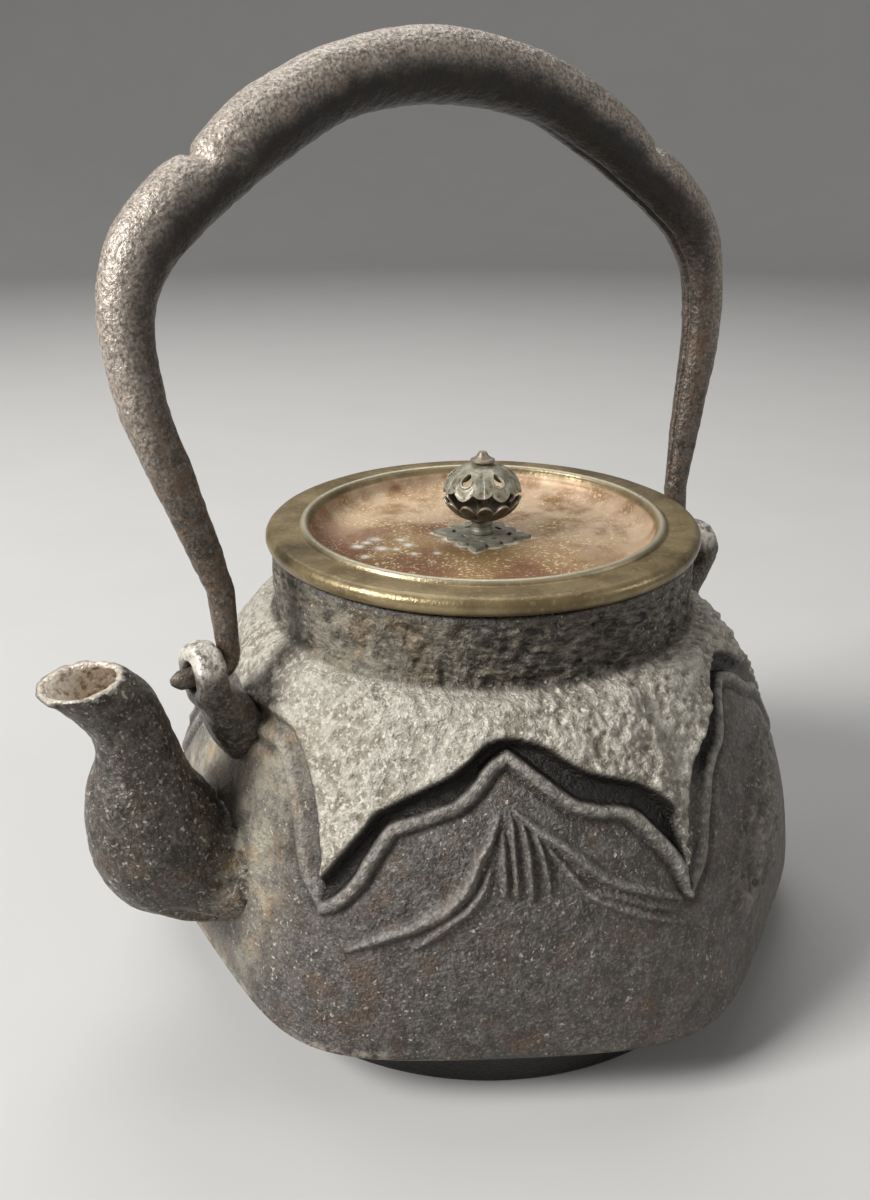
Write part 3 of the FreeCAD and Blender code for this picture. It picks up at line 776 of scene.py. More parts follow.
def mountain_lines(out, up, face, off_face):
    """Distances above the snow's edge and above the bead under it."""
    ridge_face = np.isin(face, RIDGE_FACES)
    kinds = [(ridge_face & (off_face > 0), BOLD_EDGE, BOLD_BEAD),
             (ridge_face & (off_face <= 0), GENTLE_EDGE, GENTLE_BEAD),
             (np.isin(face, LUG_FACES), LUG_EDGE, LUG_BEAD),
             (np.isin(face, ROCK_FACES), PLAIN_EDGE, PLAIN_BEAD)]
    above = np.zeros(out.shape)
    over_bead = np.zeros(out.shape)
    for columns, edge_line, bead_line in kinds:
        above[:, columns] = above_line(out[:, columns], up[:, columns], edge_line)
        over_bead[:, columns] = above_line(out[:, columns], up[:, columns], bead_line)
    return above, over_bead


def wall_stains(points, along, heights, face):
    """Pale wash beside the front lug, and a ring of deposit round the spout's root."""
    wash = bump(along - WASH_PLACE, WASH_WIDTH) * (0.1 + 0.9 * smoothstep(38.0, 60.0, heights))
    wash *= smoothstep(79.0, 72.0, heights) * (face == LUG_FACES[1])
    root_gap = np.linalg.norm(points - np.array(ROOT_PLACE), axis=-1)
    ring = bump(root_gap - ROOT_RING, ROOT_RING_WIDTH) * (0.55 + 0.45 * smoothstep(30.0, 44.0, heights))
    return np.maximum(0.9 * wash, ring)


def snow_grain(points):
    """Height of the snow's grain, stronger towards the right, and its mask."""
    coarse = 0.4 * fractal(points, 6.0, 2, 21) + 0.8 * (ridged(points, 2.6, 2, 31) - 0.5)
    fine = fractal(points, 1.5, 2, 41)
    to_right = smoothstep(-35.0, 45.0, 0.82 * points[..., 0] - 0.58 * points[..., 1])
    height = (0.85 + 0.95 * to_right) * (0.62 * coarse + 0.28 * fine)
    return height, np.clip(0.5 + 0.5 * coarse + 0.45 * fine, 0, 1)


def neck_relief(points, heights, neck):
    """Pitted skin of the neck, and a broken crease between neck and cap."""
    ring = CAP_TOP + 1.3 * noise(points, 13.0, 51)
    crease = bump(heights - ring, 0.7) * smoothstep(-0.5, 0.3, noise(points, 9.0, 52))
    pits = smoothstep(0.15, 0.6, noise(points, 2.4, 62))
    return neck * (0.5 * fractal(points, 2.8, 3, 61) - 0.65 * pits) - 0.7 * crease * (1 - neck)


def wall_strokes(points, along, up, face):
    """Heights of the ridge lines and of the rocks, on the faces that have them."""
    ridge = strokes_height(along, up, RIDGE_STROKES) * np.isin(face, RIDGE_FACES)
    rocks = strokes_height(along, up, ROCK_STROKES) * np.isin(face, ROCK_FACES)
    return ridge, rocks * np.clip(0.2 + 1.5 * ridged(points, 4.2, 3, 91), 0.0, 1.5)


def body_relief(points, angle, heights):
    """Offset of the wall along its normal, and the masks that its finish needs."""
    face, off_face = face_places(angle)
    along = np.hypot(points[..., 0], points[..., 1]) * np.sin(off_face)
    out = np.abs(along)
    up = up_the_wall(heights) + 0.35 * fractal(points, 7.0, 2, 11)
    above, over_bead = mountain_lines(out, up, face, off_face)
    neck = smoothstep(SHOULDER_HEIGHT - 0.8, SHOULDER_HEIGHT + 0.6, heights)
    under_neck = 1 - smoothstep(CAP_TOP, SHOULDER_HEIGHT, heights)

    # The cap's step is low on the lug faces and towards the ends of the rock faces
    low_step = np.where(np.isin(face, LUG_FACES), 1.0, smoothstep(19, 27, out))
    low_step *= ~np.isin(face, RIDGE_FACES)
    cap = smoothstep(-0.7, 0.9, above) * (1 - 0.5 * low_step)
    snow = smoothstep(0.4, 0.9, above) * (1 - neck)
    channel = smoothstep(0.85, 0.35, above) * smoothstep(0.4, 1.2, over_bead) * (1 - 0.85 * low_step)
    bead = np.sqrt(np.clip(1 - (over_bead / BEAD_HALF_WIDTH) ** 2, 0, 1))
    bead *= (1 - cap) * (1 - 0.4 * low_step)
    under_bead = bump(over_bead + 2.1, 0.75) * (1 - cap)
    lower = smoothstep(-1.2, -3.5, over_bead)
    ridge, rocks = wall_strokes(points, along, up, face)
    grain_height, grain = snow_grain(points)
    offset = cap * under_neck * (CAP_RISE + CAP_LIP * bump(above - 1.5, 1.2)) + snow * grain_height
    offset += BEAD_RISE * bead - CHANNEL_DEPTH * channel - BEAD_GROOVE * under_bead
    offset += lower * (ridge + rocks) + (1 - neck) * (1 - snow) * 0.1 * fractal(points, 2.6, 2, 71)
    offset += neck_relief(points, heights, neck)

    stain = wall_stains(points, along, heights, face) * (1 - 0.6 * snow) * (1 - channel) * (1 - neck)
    # Painted sheen: the neck paler on its left side, where the lamps light it
    neck_sheen = 0.55 * neck * bump(angle - math.radians(NECK_SHEEN_ANGLE), 0.42)
    # Paler beads and stroke crests: wear, and painted highlight
    crests = 0.85 * bead + 0.6 * lower * np.clip(ridge + 0.9 * rocks - 0.5, 0, 1)
    # Painted highlight: a pale, broken line along the base edge
    edge = 0.9 * bump(up - 0.4, 0.8) * smoothstep(-0.05, 0.35, noise(points, 14.0, 81))
    # The channel and the groove under the bead get a mask that the finish paints near black: painted
    # shade, with dark patina
    masks = {"snow": snow, "grain": grain, "neck": neck, "edge": edge, "stain_and_sheen": stain + neck_sheen,
             "bead": np.clip(crests, 0, 1), "shaded_channel": np.clip(channel + 0.55 * under_bead, 0, 1)}
    return offset, masks


def corner_bulge(off_face):
    """How far between face and corner a rounded polygon stands, away from a face's middle."""
    def reach(off):
        turns = [off - 2 * math.pi / SIDES * i for i in (-1, 0, 1)]
        near = sum(np.maximum(0, np.cos(turn)) ** CORNER_SHARPNESS for turn in turns)
        return near ** (-1 / CORNER_SHARPNESS)

    least = reach(0.0)
    return (reach(off_face) - least) / (reach(math.pi / SIDES) - least)


def body_angles():
    """Angles of the body's columns, closer on the faces that have more of them."""
    angle = []
    for i, count in enumerate(FACE_COLUMNS):
        angle += [(i - 0.5 + j / count) * 2 * math.pi / SIDES for j in range(count)]
    return np.array(angle)


def build_body():
    rows, wall_start, neck_end = body_rows()
    angle = body_angles()
    bulge = corner_bulge(face_places(angle)[1])
    radius = rows[:, :1] + (rows[:, 1:2] - rows[:, :1]) * bulge
    heights = np.repeat(rows[:, 2:3], len(angle), 1)
    grid = round_axis(radius, angle, heights)
    normal = normals_of(grid)
    outside = slice(wall_start, neck_end)
    offset, masks = body_relief(grid[outside], angle, heights[outside])
    fade = smoothstep(0.0, 2.5, heights[outside] - BASE_HEIGHT)
    grid[outside] += normal[outside] * (offset * fade)[..., None]
    full = {label: on_rows(grid, outside, values) for label, values in masks.items()}
    # Painted shade on the foot and underside below the base edge
    full["under_shade"] = on_rows(grid, slice(wall_start), 1.0)
    return closed_grid("kettle_casting", grid, full, on_rows(grid, outside, offset))


# Tubes

def tube_grid(centres, tangents, radii, columns, side=(0, 1, 0)):
    """Rings round a path in a plane whose normal is side, and the angles of their points."""
    side = np.array(side, float)
    inward = np.cross(side, tangents)
    angle = circle(columns)
    ring = np.cos(angle)[:, None] * inward[:, None, :] + np.sin(angle)[:, None] * side
    return centres[:, None, :] + radii[:, None, None] * ring, angle


def in_plane(x, z):
    """Points in the plane of the spout and the upright handle."""
    return np.column_stack([x, np.zeros(len(x)), z])


def directions(centres):
    step = np.gradient(centres, axis=0)
    return step / np.linalg.norm(step, axis=1, keepdims=True)


def spout_sections(inset, step):
    """Centres, directions and radii of the spout's rings on the -X side, root first."""
    rows = spline(SPOUT_SECTIONS, step)
    slope = np.radians(rows[:, 2])
    tangents = in_plane(-np.cos(slope), np.sin(slope))
    return in_plane(-rows[:, 0], rows[:, 1]), tangents, rows[:, 3] - inset


def build_spout():
    """Tube with a flared, thin lip, folds at its root and a bore."""
    outer, angle = tube_grid(*spout_sections(0.0, SPOUT_STEP), SPOUT_COLUMNS)
    inner, angle = tube_grid(*spout_sections(SPOUT_WALL, SPOUT_BORE_STEP), SPOUT_COLUMNS)
    rounding = (outer[-1:] * 0.5 + inner[-1:] * 0.5) + np.array([0, 0, 0.3])
    grid = np.concatenate([outer, rounding, inner[::-1]])
    normal = normals_of(grid, True)
    lip_row = len(outer)
    along = np.arange(lip_row)[:, None] * SPOUT_STEP + 0 * angle
    up = outer[..., 2]
    folds = noise(round_axis(7.0, angle + 0 * along, along / 12.0), 1.0, 121)
    flare = ROOT_FLARE * smoothstep(15.0, 4.0, along) ** 1.5 * smoothstep(26.0, 40.0, up)
    under = ROOT_UNDERCUT * smoothstep(38.0, 27.0, up)
    edge = bump((along - along[-1:]) / 3.0, 1.0)
    height = 0.2 * fractal(grid, 9.0, 2, 101) + 0.17 * fractal(grid, 2.2, 2, 111)
    height[:lip_row] += FOLD_HEIGHT * folds * bump(along - FOLD_PLACE, FOLD_REACH) + flare - under
    height[:lip_row] += 0.5 * edge * fractal(outer, 3.0, 2, 131)
    grid += normal * height[..., None]
    root = smoothstep(17.0, 7.0, along) * smoothstep(22.0, 34.0, up)
    masks = {"inside": on_rows(grid, slice(lip_row, None), 1.0)[::-1],
             "lip": on_rows(grid, slice(lip_row - 2, lip_row + 1), 0.7)[::-1],
             "root": on_rows(grid, slice(lip_row), root)[::-1]}
    return ring_grid("spout_casting", grid[::-1], masks)


def bow_path():
    """Centre line and radius of the whole bow, from its front end over the crown to its rear end."""
    other = [(-reach, height, radius) for reach, height, radius in BOW_ARCH[:0:-1]]
    arch = spline(other + BOW_ARCH, BOW_STEP)
    flank = spline(BOW_FLANK, BOW_STEP)
    return np.vstack([flank[:0:-1] * np.array([-1, 1, 1]), arch, flank[1:]])


def lean_handle(points):
    """The handle leans towards +Y about its hinge."""
    lean = math.radians(HANDLE_LEAN)
    up = points[..., 2] - HINGE_HEIGHT
    y = points[..., 1] * math.cos(lean) + up * math.sin(lean)
    z = up * math.cos(lean) - points[..., 1] * math.sin(lean)
    return np.stack([points[..., 0], y, z + HINGE_HEIGHT], -1)


def blurred(values, reach):
    """Rows averaged with their neighbours."""
    pad = 3 * reach
    kernel = bump(np.arange(-pad, pad + 1), reach)
    kernel /= kernel.sum()
    padded = np.pad(values, ((pad, pad), (0, 0)), mode="edge")
    return np.column_stack([np.convolve(column, kernel, mode="valid") for column in padded.T])


def hammered(points):
    """Offset of the forged surface of bow and hooks."""
    return 0.14 * fractal(points, 9.0, 2, 201) + 0.12 * fractal(points, 1.7, 2, 211)


def build_bow():
    path = bow_path()
    centres = in_plane(path[:, 0], path[:, 1] + HINGE_HEIGHT)
    tangents = blurred(directions(centres), 6)
    tangents /= np.linalg.norm(tangents, axis=1, keepdims=True)
    grid, angle = tube_grid(centres, tangents, path[:, 2], BOW_COLUMNS)
    normal = normals_of(grid)
    outward = -np.cos(angle)[None, :]
    notch_reach, notch_height = BOW_ARCH[-1][:2]
    notch_gap = np.hypot(np.abs(path[:, :1]) - notch_reach, path[:, 1:2] - notch_height)
    height = hammered(grid)
    height -= NOTCH_DEPTH * bump(notch_gap, NOTCH_HALF_WIDTH) * smoothstep(-0.1, 0.9, outward)
    seam = np.abs((angle + np.pi) % (2 * np.pi) - np.pi)[None, :] * path[:, 2:3]
    height -= SEAM_DEPTH * bump(seam, SEAM_HALF_WIDTH) * smoothstep(118, 100, path[:, 1:2])
    grid += normal * height[..., None]
    # Painted shade on the inner, lower side of the bow's upper part
    under_shade = 0.95 * smoothstep(0.35, -0.45, outward + 0.25 * fractal(grid, 5.0, 2, 221))
    under_shade *= smoothstep(60, 95, path[:, 1:2])
    # Paler outward side: pale dust and painted sheen
    pale_and_sheen = smoothstep(-0.55, 0.6, outward) * smoothstep(34, 62, path[:, 1:2])
    rusty = smoothstep(75, 45, path[:, 1:2]) + 0 * angle[None, :]
    masks = {"under_shade": under_shade[:, ::-1], "pale_and_sheen": pale_and_sheen[:, ::-1], "rusty": rusty[:, ::-1]}
    return closed_grid("handle_bow_tube", lean_handle(grid)[:, ::-1], masks)


def build_hook(side, name):
    """Drawn end of the bow: down the leg, round the bend and out through the lug."""
    leg = [(HOOK_LEG, height) for height in np.arange(HOOK_TOP, HOOK_BEND, -HOOK_STEP)]
    turn = [(HOOK_LEG + HOOK_BEND - HOOK_BEND * math.cos(a), HOOK_BEND - HOOK_BEND * math.sin(a))
            for a in np.linspace(0, math.pi / 2, 11)]
    out = [(reach, 0.0) for reach in np.arange(HOOK_LEG + HOOK_BEND + HOOK_STEP, HOOK_TIP, HOOK_STEP)]
    path = np.array(leg + turn + out)
    centres = in_plane(side * path[:, 0], path[:, 1] + HINGE_HEIGHT)
    radii = np.interp(path[:, 1], [HOOK_BEND, HOOK_SHOULDER, HOOK_TOP],
                      [HOOK_RADIUS, HOOK_SHOULDER_RADIUS, HOOK_TOP_RADIUS])
    tip_gap = HOOK_TIP - path[:, 0]
    radii *= np.sqrt(np.clip(tip_gap / HOOK_ROUNDING, 0.12, 1.0))
    radii *= np.interp(tip_gap, [0, HOOK_TAPER_LENGTH], [HOOK_TAPER, 1.0])
    grid = tube_grid(centres, directions(centres), radii, HOOK_COLUMNS, (0, side, 0))[0]
    grid += normals_of(grid) * (0.6 * hammered(grid))[..., None]
    plain = 0 * grid[..., 0]
    return closed_grid(name, lean_handle(grid), {"under_shade": plain, "pale_and_sheen": plain, "rusty": plain + 1})


# Lugs

def oval_ring(inner, depth, width, height, columns):
    """Rounded oval across the lug's stem on the -X side."""
    angle = circle(columns)
    squared = 0.8
    x = np.sign(np.cos(angle)) * np.abs(np.cos(angle)) ** squared
    y = np.sign(np.sin(angle)) * np.abs(np.sin(angle)) ** squared
    reach = -inner - depth / 2 - depth / 2 * x
    return np.column_stack([reach, -width / 2 * y, np.full(columns, height)])


def lug_eye(columns=64):
    """Ring round the hook, with rounded edges, whose rows go round both ways."""
    half = LUG_THICKNESS / 2
    lower = [(LUG_HOLE, 1 - half), (LUG_HOLE + 0.8, -half), (LUG_RADIUS - 1.6, -half),
             (LUG_RADIUS - 0.4, 0.7 - half)]
    upper = [(radius, -height) for radius, height in lower[::-1]]
    outline = lower + [(LUG_RADIUS, 0.0)] + upper
    ring = turned_grid(dense_outline(outline, 0.6), columns)
    across, along, out = ring[..., 2], ring[..., 1], ring[..., 0]
    return np.stack([across - LUG_INNER_FACE - half, along, out + HINGE_HEIGHT], -1)


def build_lug(side, name):
    """Ear for the hook: an eye on a leaning stem, joined, rounded off and roughened."""
    columns = 48
    ovals = spline(LUG_OVALS, LUG_STEP)
    stem = np.stack([oval_ring(*oval, columns) for oval in ovals])
    turn = np.array([-side, -side, 1.0])
    parts = [closed_grid("stem", stem * turn), ring_grid("eye", lug_eye() * turn)]
    joined = join_meshes(name, parts, LUG_VOXEL)
    points = np.array([vertex.co for vertex in joined.data.vertices]) / MM
    normal = np.array([vertex.normal for vertex in joined.data.vertices])
    roughness = 0.28 * fractal(points, 4.0, 3, 301) + 0.1 * fractal(points, 1.6, 2, 311)
    points += normal * roughness[:, None]
    joined.data.vertices.foreach_set("co", (points * MM).ravel())
    # The lug's upper half is paler: wear, and painted highlight
    over_hinge = points[:, 2] - HINGE_HEIGHT + 0.6 * noise(points, 3.0, 321)
    add_mask(joined.data, "pale_and_sheen", smoothstep(0.5, 4.0, over_hinge))
    joined.data.shade_smooth()
    return joined


def join_meshes(name, parts, voxel):
    """One closed skin round several overlapping pieces."""
    mesh = bpy.data.meshes.new(name)
    vertices, faces = [], []
    for part in parts:
        start = len(vertices)
        vertices += [tuple(vertex.co) for vertex in part.data.vertices]
        faces += [tuple(start + i for i in face.vertices) for face in part.data.polygons]
        bpy.data.objects.remove(part)
    mesh.from_pydata(vertices, [], faces)
    piece = add_object(name, mesh)
    skin = piece.modifiers.new("skin", "REMESH")
    skin.mode = "VOXEL"
    skin.voxel_size = voxel * MM
    soften = piece.modifiers.new("soften", "SMOOTH")
    soften.factor = 0.5
    soften.iterations = 8
    return applied(piece)


# Lid

def lid_outline():
    """Closed outline of the cover: underside, rounded edge, rim, bead and sunk plate."""
    edge = LID_RADIUS - LID_EDGE
    outline = [(RIVET_BORE, PLATE_BOTTOM), (PAN_RADIUS, PLATE_BOTTOM), (PAN_RADIUS, LID_BOTTOM),
               (edge, LID_BOTTOM)]
    outline += arc(edge, LID_BOTTOM + LID_EDGE, LID_EDGE, -90, 80)
    outline += [(edge - 1.5, RIM_TOP - 0.05), (LID_BEAD_RADIUS + 1.2, RIM_TOP - 0.25)]
    outline += arc(LID_BEAD_RADIUS, RIM_TOP - 0.2, 1.0, 10, 170)
    outline += [(LID_BEAD_RADIUS - 1.15, RIM_TOP - 0.7)]
    for turn in np.radians(np.linspace(0, 90, 12)):
        outline.append((PLATE_RADIUS - DISH_REACH * (1 - math.cos(turn)),
                        DISH_TOP - DISH_DEPTH * math.sin(turn)))
    return outline + [(RIVET_BORE, PLATE_TOP)]


def build_lid():
    grid = turned_grid(dense_outline(lid_outline(), LID_STEP), LID_COLUMNS)
    grid += normals_of(grid, True) * (0.06 * fractal(grid, 12.0, 3, 401))[..., None]
    x, y, z = np.moveaxis(grid, -1, 0)
    radius = np.hypot(x, y)
    plate = smoothstep(PLATE_RADIUS + 0.7, PLATE_RADIUS - 0.1, radius) * (z > PLATE_TOP - 0.4)
    dust = seat_dust(x, y) * plate
    # Pale top of the bead: its own pale metal, and painted highlight
    bead = bump(radius - LID_BEAD_RADIUS, 0.9) * smoothstep(RIM_TOP - 0.1, RIM_TOP + 0.5, z)
    ring = smoothstep(PLATE_RADIUS - 9.0, PLATE_RADIUS - 0.5, radius)
    # Paler towards the plate's right and back: cream deposit, and painted sheen
    pale = smoothstep(-12, 26, np.maximum(0.95 * x + 0.3 * y, 0.5 * x + 0.85 * y))
    masks = {"plate": plate, "bead": bead, "dust": dust, "ring": ring * (1 - 0.6 * pale), "pale": pale}
    return ring_grid("lid_cover_cast", grid, masks)


def seat_reach(angle):
    """Radius of the seat's outline: a square on its corner with scalloped sides."""
    square = SEAT_HALF_DIAGONAL / (np.abs(np.cos(angle)) + np.abs(np.sin(angle)))
    wave = np.abs(np.cos(SEAT_SCALLOPS / 2 * angle)) ** SCALLOP_POWER
    return square * (SEAT_WAIST + SEAT_SCALLOP * wave)


def seat_dust(x, y):
    """Pale deposit round the knob's seat and in spots beside it."""
    angle = np.arctan2(y, x) - math.radians(SEAT_TURN)
    total = bump(np.hypot(x, y) - seat_reach(angle) - 0.35, 0.85)
    for spot_x, spot_y, size in DUST_SPOTS:
        total = np.maximum(total, bump(np.hypot(x - spot_x, y - spot_y), size))
    return total


# Knob

def turned_piece(name, outline, columns=64):
    """Piece turned about Z from a closed outline that keeps clear of the axis."""
    dense = dense_outline(list(outline) + [outline[0]], TURNING_STEP)[:-1]
    return ring_grid(name, turned_grid(dense, columns))


def build_seat():
    """Scalloped, pierced plate set on its corner, from a filled outline with holes."""
    data = bpy.data.curves.new("knob_seat", "CURVE")
    data.dimensions = "2D"
    data.fill_mode = "BOTH"
    data.extrude = (SEAT_THICKNESS / 2 - SEAT_BEVEL) * MM
    data.bevel_depth = SEAT_BEVEL * MM
    angle, t, bore = (circle(count) for count in SEAT_POINTS)
    reach = seat_reach(angle)
    add_loop(data, reach * np.cos(angle), reach * np.sin(angle))
    half_out, half_across = SEAT_HOLE_HALF
    for i in range(SEAT_HOLES):
        middle = i * 2 * math.pi / SEAT_HOLES
        x = SEAT_HOLE_REACH[i % 2] + half_out * np.cos(t)
        y = half_across * np.sin(t)
        add_loop(data, x * math.cos(middle) - y * math.sin(middle),
                 x * math.sin(middle) + y * math.cos(middle))
    add_loop(data, RIVET_BORE * np.cos(bore), RIVET_BORE * np.sin(bore))
    return mesh_from_curve("knob_seat_pierced", data, PLATE_TOP + SEAT_THICKNESS / 2, SEAT_TURN)


def add_loop(data, x, y):
    loop = data.splines.new("POLY")
    loop.points.add(len(x) - 1)
    loop.use_cyclic_u = True
    flat = np.column_stack([x * MM, y * MM, np.zeros(len(x)), np.ones(len(x))])
    loop.points.foreach_set("co", flat.ravel())


def mesh_from_curve(name, data, height, turn):
    source = bpy.data.objects.new(name + "_outline", data)
    mesh = bpy.data.meshes.new_from_object(source)
    bpy.data.objects.remove(source)
    lift = Matrix.Translation((0, 0, height * MM))
    mesh.transform(lift @ Matrix.Rotation(math.radians(turn), 4, "Z"))
    mesh.name = name
    return add_object(name, mesh)


def bud_radius(height):
    lift = np.abs(2 * height / BUD_HEIGHT - 1)
    return BUD_RADIUS * np.sqrt(np.maximum(0, 1 - lift ** BUD_POWER))


def shell_grid(low, high, columns=288, rows=44):
    """Angles, heights above the bud's bottom and shares of the way up, of a shell between two edges."""
    angle = circle(columns)
    share = np.linspace(0, 1, rows)[:, None]
    height = low(angle)[None, :] * (1 - share) + high(angle)[None, :] * share
    return angle[None, :] + 0 * height, height, share + 0 * height


def shell_points(angle, height, swell):
    radius = np.maximum(bud_radius(height) + swell, RIVET_RADIUS)
    return round_axis(radius, angle, height + BUD_BOTTOM)


def thick_shell(name, grid, keep, rim):
    """Shell of the bud's thickness on the quads of a grid that have a point to keep."""
    quads = np.array(grid_faces(*grid.shape[:2]))
    quads = quads[keep.ravel()[quads].any(1)]
    used, corners = np.unique(quads, return_inverse=True)
    faces = corners.reshape(quads.shape).tolist()
    piece = object_from(name, grid.reshape(-1, 3)[used], faces, {"rim": rim.ravel()[used]})
    thick = piece.modifiers.new("thickness", "SOLIDIFY")
    thick.thickness = BUD_WALL * MM
    thick.offset = -1.0
    applied(piece).data.shade_smooth()
    return piece


def hole_size(angle, height):
    """Angle from the nearest of the cap's holes, and distance from its middle in hole sizes."""
    step = 2 * np.pi / CAP_LOBES
    off = (angle + step / 2) % step - step / 2
    y = (height - HOLE_HEIGHT) / HOLE_HALF_HEIGHT
    x = off * bud_radius(HOLE_HEIGHT) / HOLE_HALF_WIDTH * (1 + 0.3 * np.clip(y, 0, 1.5))
    return off, np.hypot(x, y)


def build_cap():
    """Pierced dome with a scalloped hem, a seam between its holes and a rim round each."""
    def hem(angle):
        wave = np.cos(CAP_LOBES * angle)
        return HEM_TOP - np.abs(wave) ** SCALLOP_POWER * (HEM_DROP + HEM_UNEVEN * np.sign(wave))

    angle, height, share = shell_grid(hem, lambda angle: np.full(angle.shape, BUD_HEIGHT - 0.02))
    off, size = hole_size(angle, height)
    keep = size >= 1.0
    pull = np.where(keep, 1.0, 1.0 / np.maximum(size, 1e-6))
    angle = angle - off + off * pull
    height = HOLE_HEIGHT + (height - HOLE_HEIGHT) * pull
    seam = np.abs(np.abs(off) - np.pi / CAP_LOBES) * BUD_RADIUS
    swell = HOLE_RIM_RISE * bump(size - 1.22, 0.15) + HEM_RISE * bump(share, 0.12)
    swell -= CAP_SEAM_DEPTH * bump(seam - 0.25, 0.14) * smoothstep(13.4, 12.0, height)
    rim = np.clip(bump(size - 1.12, 0.1) + 0.5 * bump(share, 0.05), 0, 1)
    turned = angle + math.radians(CAP_TURN)
    return thick_shell("knob_cap_pierced", shell_points(turned, height, swell), keep, rim)


def build_calyx():
    """Cup of rounded petals whose tips stand off a little."""
    def tips(angle):
        return PETAL_LOW + PETAL_RISE * np.abs(np.cos(CALYX_PETALS / 2 * angle)) ** SCALLOP_POWER

    angle, height, share = shell_grid(lambda angle: np.full(angle.shape, 0.02), tips)
    petal = np.abs(np.cos(CALYX_PETALS / 2 * angle))
    swell = PETAL_FLARE * share ** 2 * petal - PETAL_CREASE * share * bump(petal, 0.25)
    rim = bump(1 - share, 0.05)
    keep = np.ones(angle.shape, bool)
    return thick_shell("knob_calyx_petals", shell_points(angle, height, swell), keep, rim)


def build_small_turnings():
    """Collar and finial washer."""
    half = COLLAR_BOTTOM + 1.5
    collar = [(RIVET_RADIUS, COLLAR_BOTTOM), (2.7, COLLAR_BOTTOM), (2.75, half - 0.7),
              (2.45, half - 0.35), (2.1, half), (2.35, half + 0.3), (2.5, half + 0.9),
              (2.3, BUD_BOTTOM), (RIVET_RADIUS, BUD_BOTTOM)]
    finial = [(RIVET_RADIUS, BUD_TOP), (2.0, BUD_TOP), (2.1, BUD_TOP + 0.35), (2.8, BUD_TOP + 0.45),
              (2.8, BUD_TOP + 0.8), (2.2, BUD_TOP + 1.1), (1.8, BUD_TOP + 1.2), (1.75, BUD_TOP + 1.45),
              (RIVET_RADIUS, BUD_TOP + 1.5)]
    return turned_piece("knob_collar_turned", collar), turned_piece("knob_finial_washer", finial)


# Stage

def floor_material():
    shader = Shader("pale_floor", 0.9)
    tone = shader.mix(shader.noise(60.0, 3.0), (0.60, 0.59, 0.57), (0.64, 0.63, 0.61))
    path = shader.add("ShaderNodeLightPath")
    seen = shader.math("MAXIMUM", path.outputs["Is Camera Ray"], path.outputs["Is Glossy Ray"])
    return shader.finished(shader.mix(seen, (0.2, 0.195, 0.19), tone))


def build_floor():
    """A pale round sheet that runs level and then sweeps up on all sides."""
    outline = [(FLOOR_RADIUS + FLOOR_SWEEP, BACKDROP_HEIGHT)]
    outline += arc(FLOOR_RADIUS, FLOOR_SWEEP, FLOOR_SWEEP, 0, -90, 16)
    outline += [(radius, 0.0) for radius in FLOOR_RINGS]
    grid = turned_grid(outline, FLOOR_COLUMNS)
    floor = object_from("floor", grid, grid_faces(*grid.shape[:2]))
    floor.data.materials.append(floor_material())


def add_light(name, toward_left, toward_camera, up, size, power):
    """Square soft lamp aimed at the kettle, placed by the photograph's left and the camera's side."""
    heading = math.radians(CAMERA_HEADING)
    near = Vector((-math.cos(heading), -math.sin(heading), 0))
    left = Vector((-math.sin(heading), math.cos(heading), 0))
    data = bpy.data.lights.new(name, "AREA")
    data.size = size
    data.energy = power
    lamp = add_object(name, data)
    lamp.location = left * toward_left + near * toward_camera + Vector((0, 0, up))
    aim = Vector(LAMP_AIM) - lamp.location
    lamp.rotation_euler = aim.to_track_quat("-Z", "Y").to_euler()


def build_lights():
    for lamp in LAMPS:
        add_light(*lamp)
    world = bpy.data.worlds.new("studio")
    world.use_nodes = True
    background = world.node_tree.nodes["Background"]
    background.inputs["Color"].default_value = WORLD_COLOUR
    background.inputs["Strength"].default_value = WORLD_STRENGTH
    bpy.context.scene.world = world


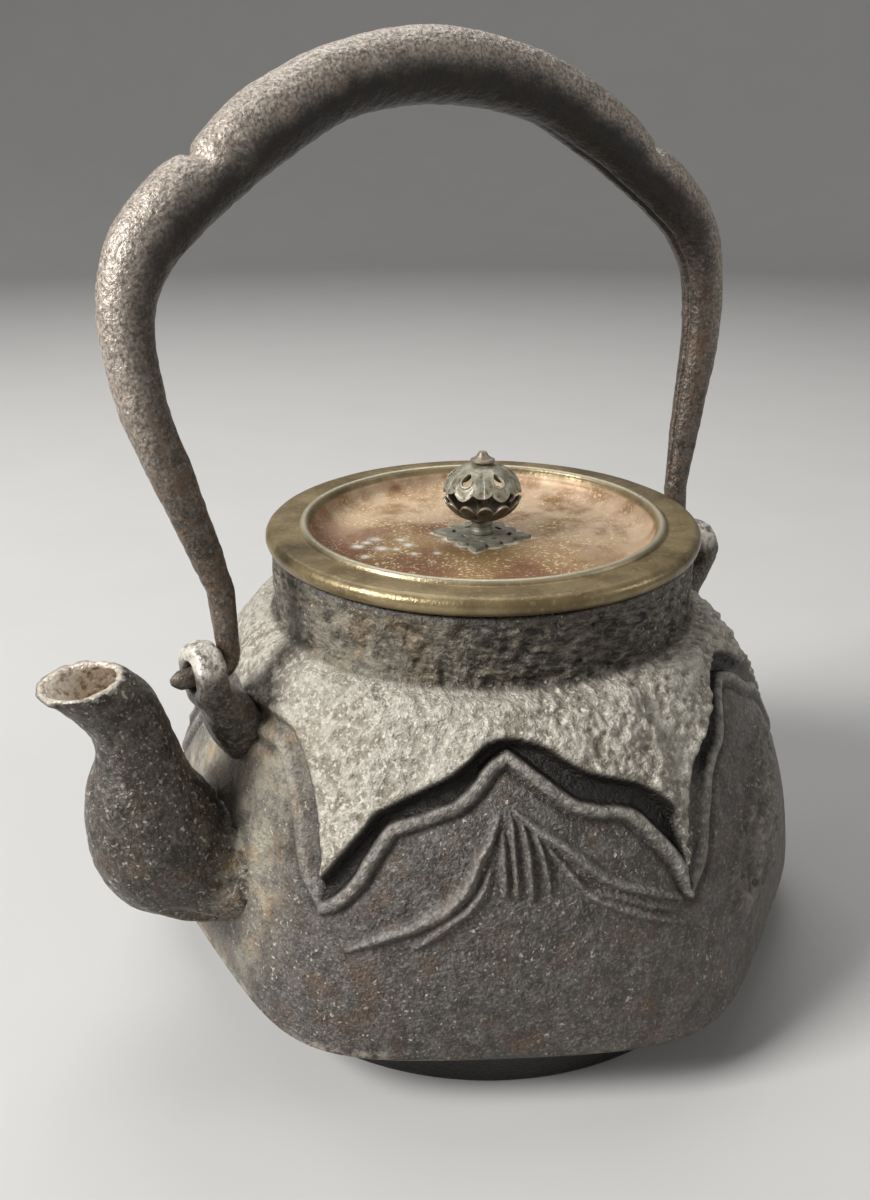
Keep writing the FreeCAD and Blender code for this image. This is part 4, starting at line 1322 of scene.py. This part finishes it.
def build_camera():
    heading = math.radians(CAMERA_HEADING + 180)
    look = math.radians(CAMERA_HEADING) - math.radians(CAMERA_YAW)
    pitch = math.radians(CAMERA_PITCH)
    roll = math.radians(CAMERA_ROLL)
    level = Vector((math.cos(look), math.sin(look), 0))
    forward = level * math.cos(pitch) - Vector((0, 0, math.sin(pitch)))
    right = forward.cross(Vector((0, 0, 1))).normalized()
    up = right.cross(forward)
    turned_right = right * math.cos(roll) + up * math.sin(roll)
    turned_up = up * math.cos(roll) - right * math.sin(roll)
    place = Vector((CAMERA_DISTANCE * math.cos(heading), CAMERA_DISTANCE * math.sin(heading),
                    CAMERA_HEIGHT)) * MM
    data = bpy.data.cameras.new("view")
    data.sensor_width = SENSOR
    data.lens = FOCAL_PIXELS * SENSOR / IMAGE_HEIGHT
    data.clip_start = CAMERA_CLIP
    camera = add_object("view", data)
    axes = Matrix((turned_right, turned_up, -forward)).transposed().to_4x4()
    camera.matrix_world = Matrix.Translation(place) @ axes
    bpy.context.scene.camera = camera


def build_kettle():
    dress(build_body(), "kettle", "body_iron", body_material(), "kettle_body")
    dress(build_spout(), "kettle", "spout_iron", spout_material(), "spout")
    iron = lug_material()
    for side, end in ENDS:
        dress(build_lug(side, f"lug_{end}_cast"), "kettle", "lug_iron", iron, f"lug_{end}")


def build_handle():
    iron = handle_material()
    dress(build_bow(), "handle", "handle_iron", iron, "handle_bow")
    for side, end in ENDS:
        hook = build_hook(side, f"hook_{end}_drawn")
        dress(hook, "handle", "handle_iron", iron, f"handle_hook_{end}")


def build_top():
    bronze = lid_material()
    dress(build_lid(), "lid", "lid_bronze", bronze, "lid_cover")
    aged = knob_material("knob_metal", 0.42, (0.29, 0.26, 0.18), (0.60, 0.56, 0.44), (0.74, 0.69, 0.56))
    green = knob_material("seat_metal", 0.45, (0.23, 0.225, 0.175), (0.38, 0.365, 0.29),
                          (0.6, 0.57, 0.46), 0.35)
    dark = knob_material("calyx_metal", 0.36, (0.045, 0.032, 0.02), (0.14, 0.10, 0.062),
                         (0.50, 0.44, 0.34))
    tan = knob_material("rivet_brass", 0.45, (0.32, 0.26, 0.19), (0.50, 0.42, 0.32), (0.5, 0.42, 0.32))
    dress(build_seat(), "lid", "knob_metal", green, "knob_seat_plate")
    dress(build_cap(), "knob", "knob_metal", aged, "knob_cap")
    dress(build_calyx(), "knob", "calyx_metal", dark, "knob_calyx")
    collar, finial = build_small_turnings()
    dress(collar, "knob", "knob_metal", green, "knob_collar")
    dress(finial, "knob", "rivet_brass", tan, "knob_finial")
    for node, material in (("lid_skirt", bronze), ("knob_rivet", tan), ("rivet_washer", tan)):
        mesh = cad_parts[node].data
        mesh.materials.clear()
        mesh.materials.append(material)


build_kettle()
build_handle()
build_top()
build_floor()
build_lights()
build_camera()
bpy.context.scene.view_settings.view_transform = "Standard"
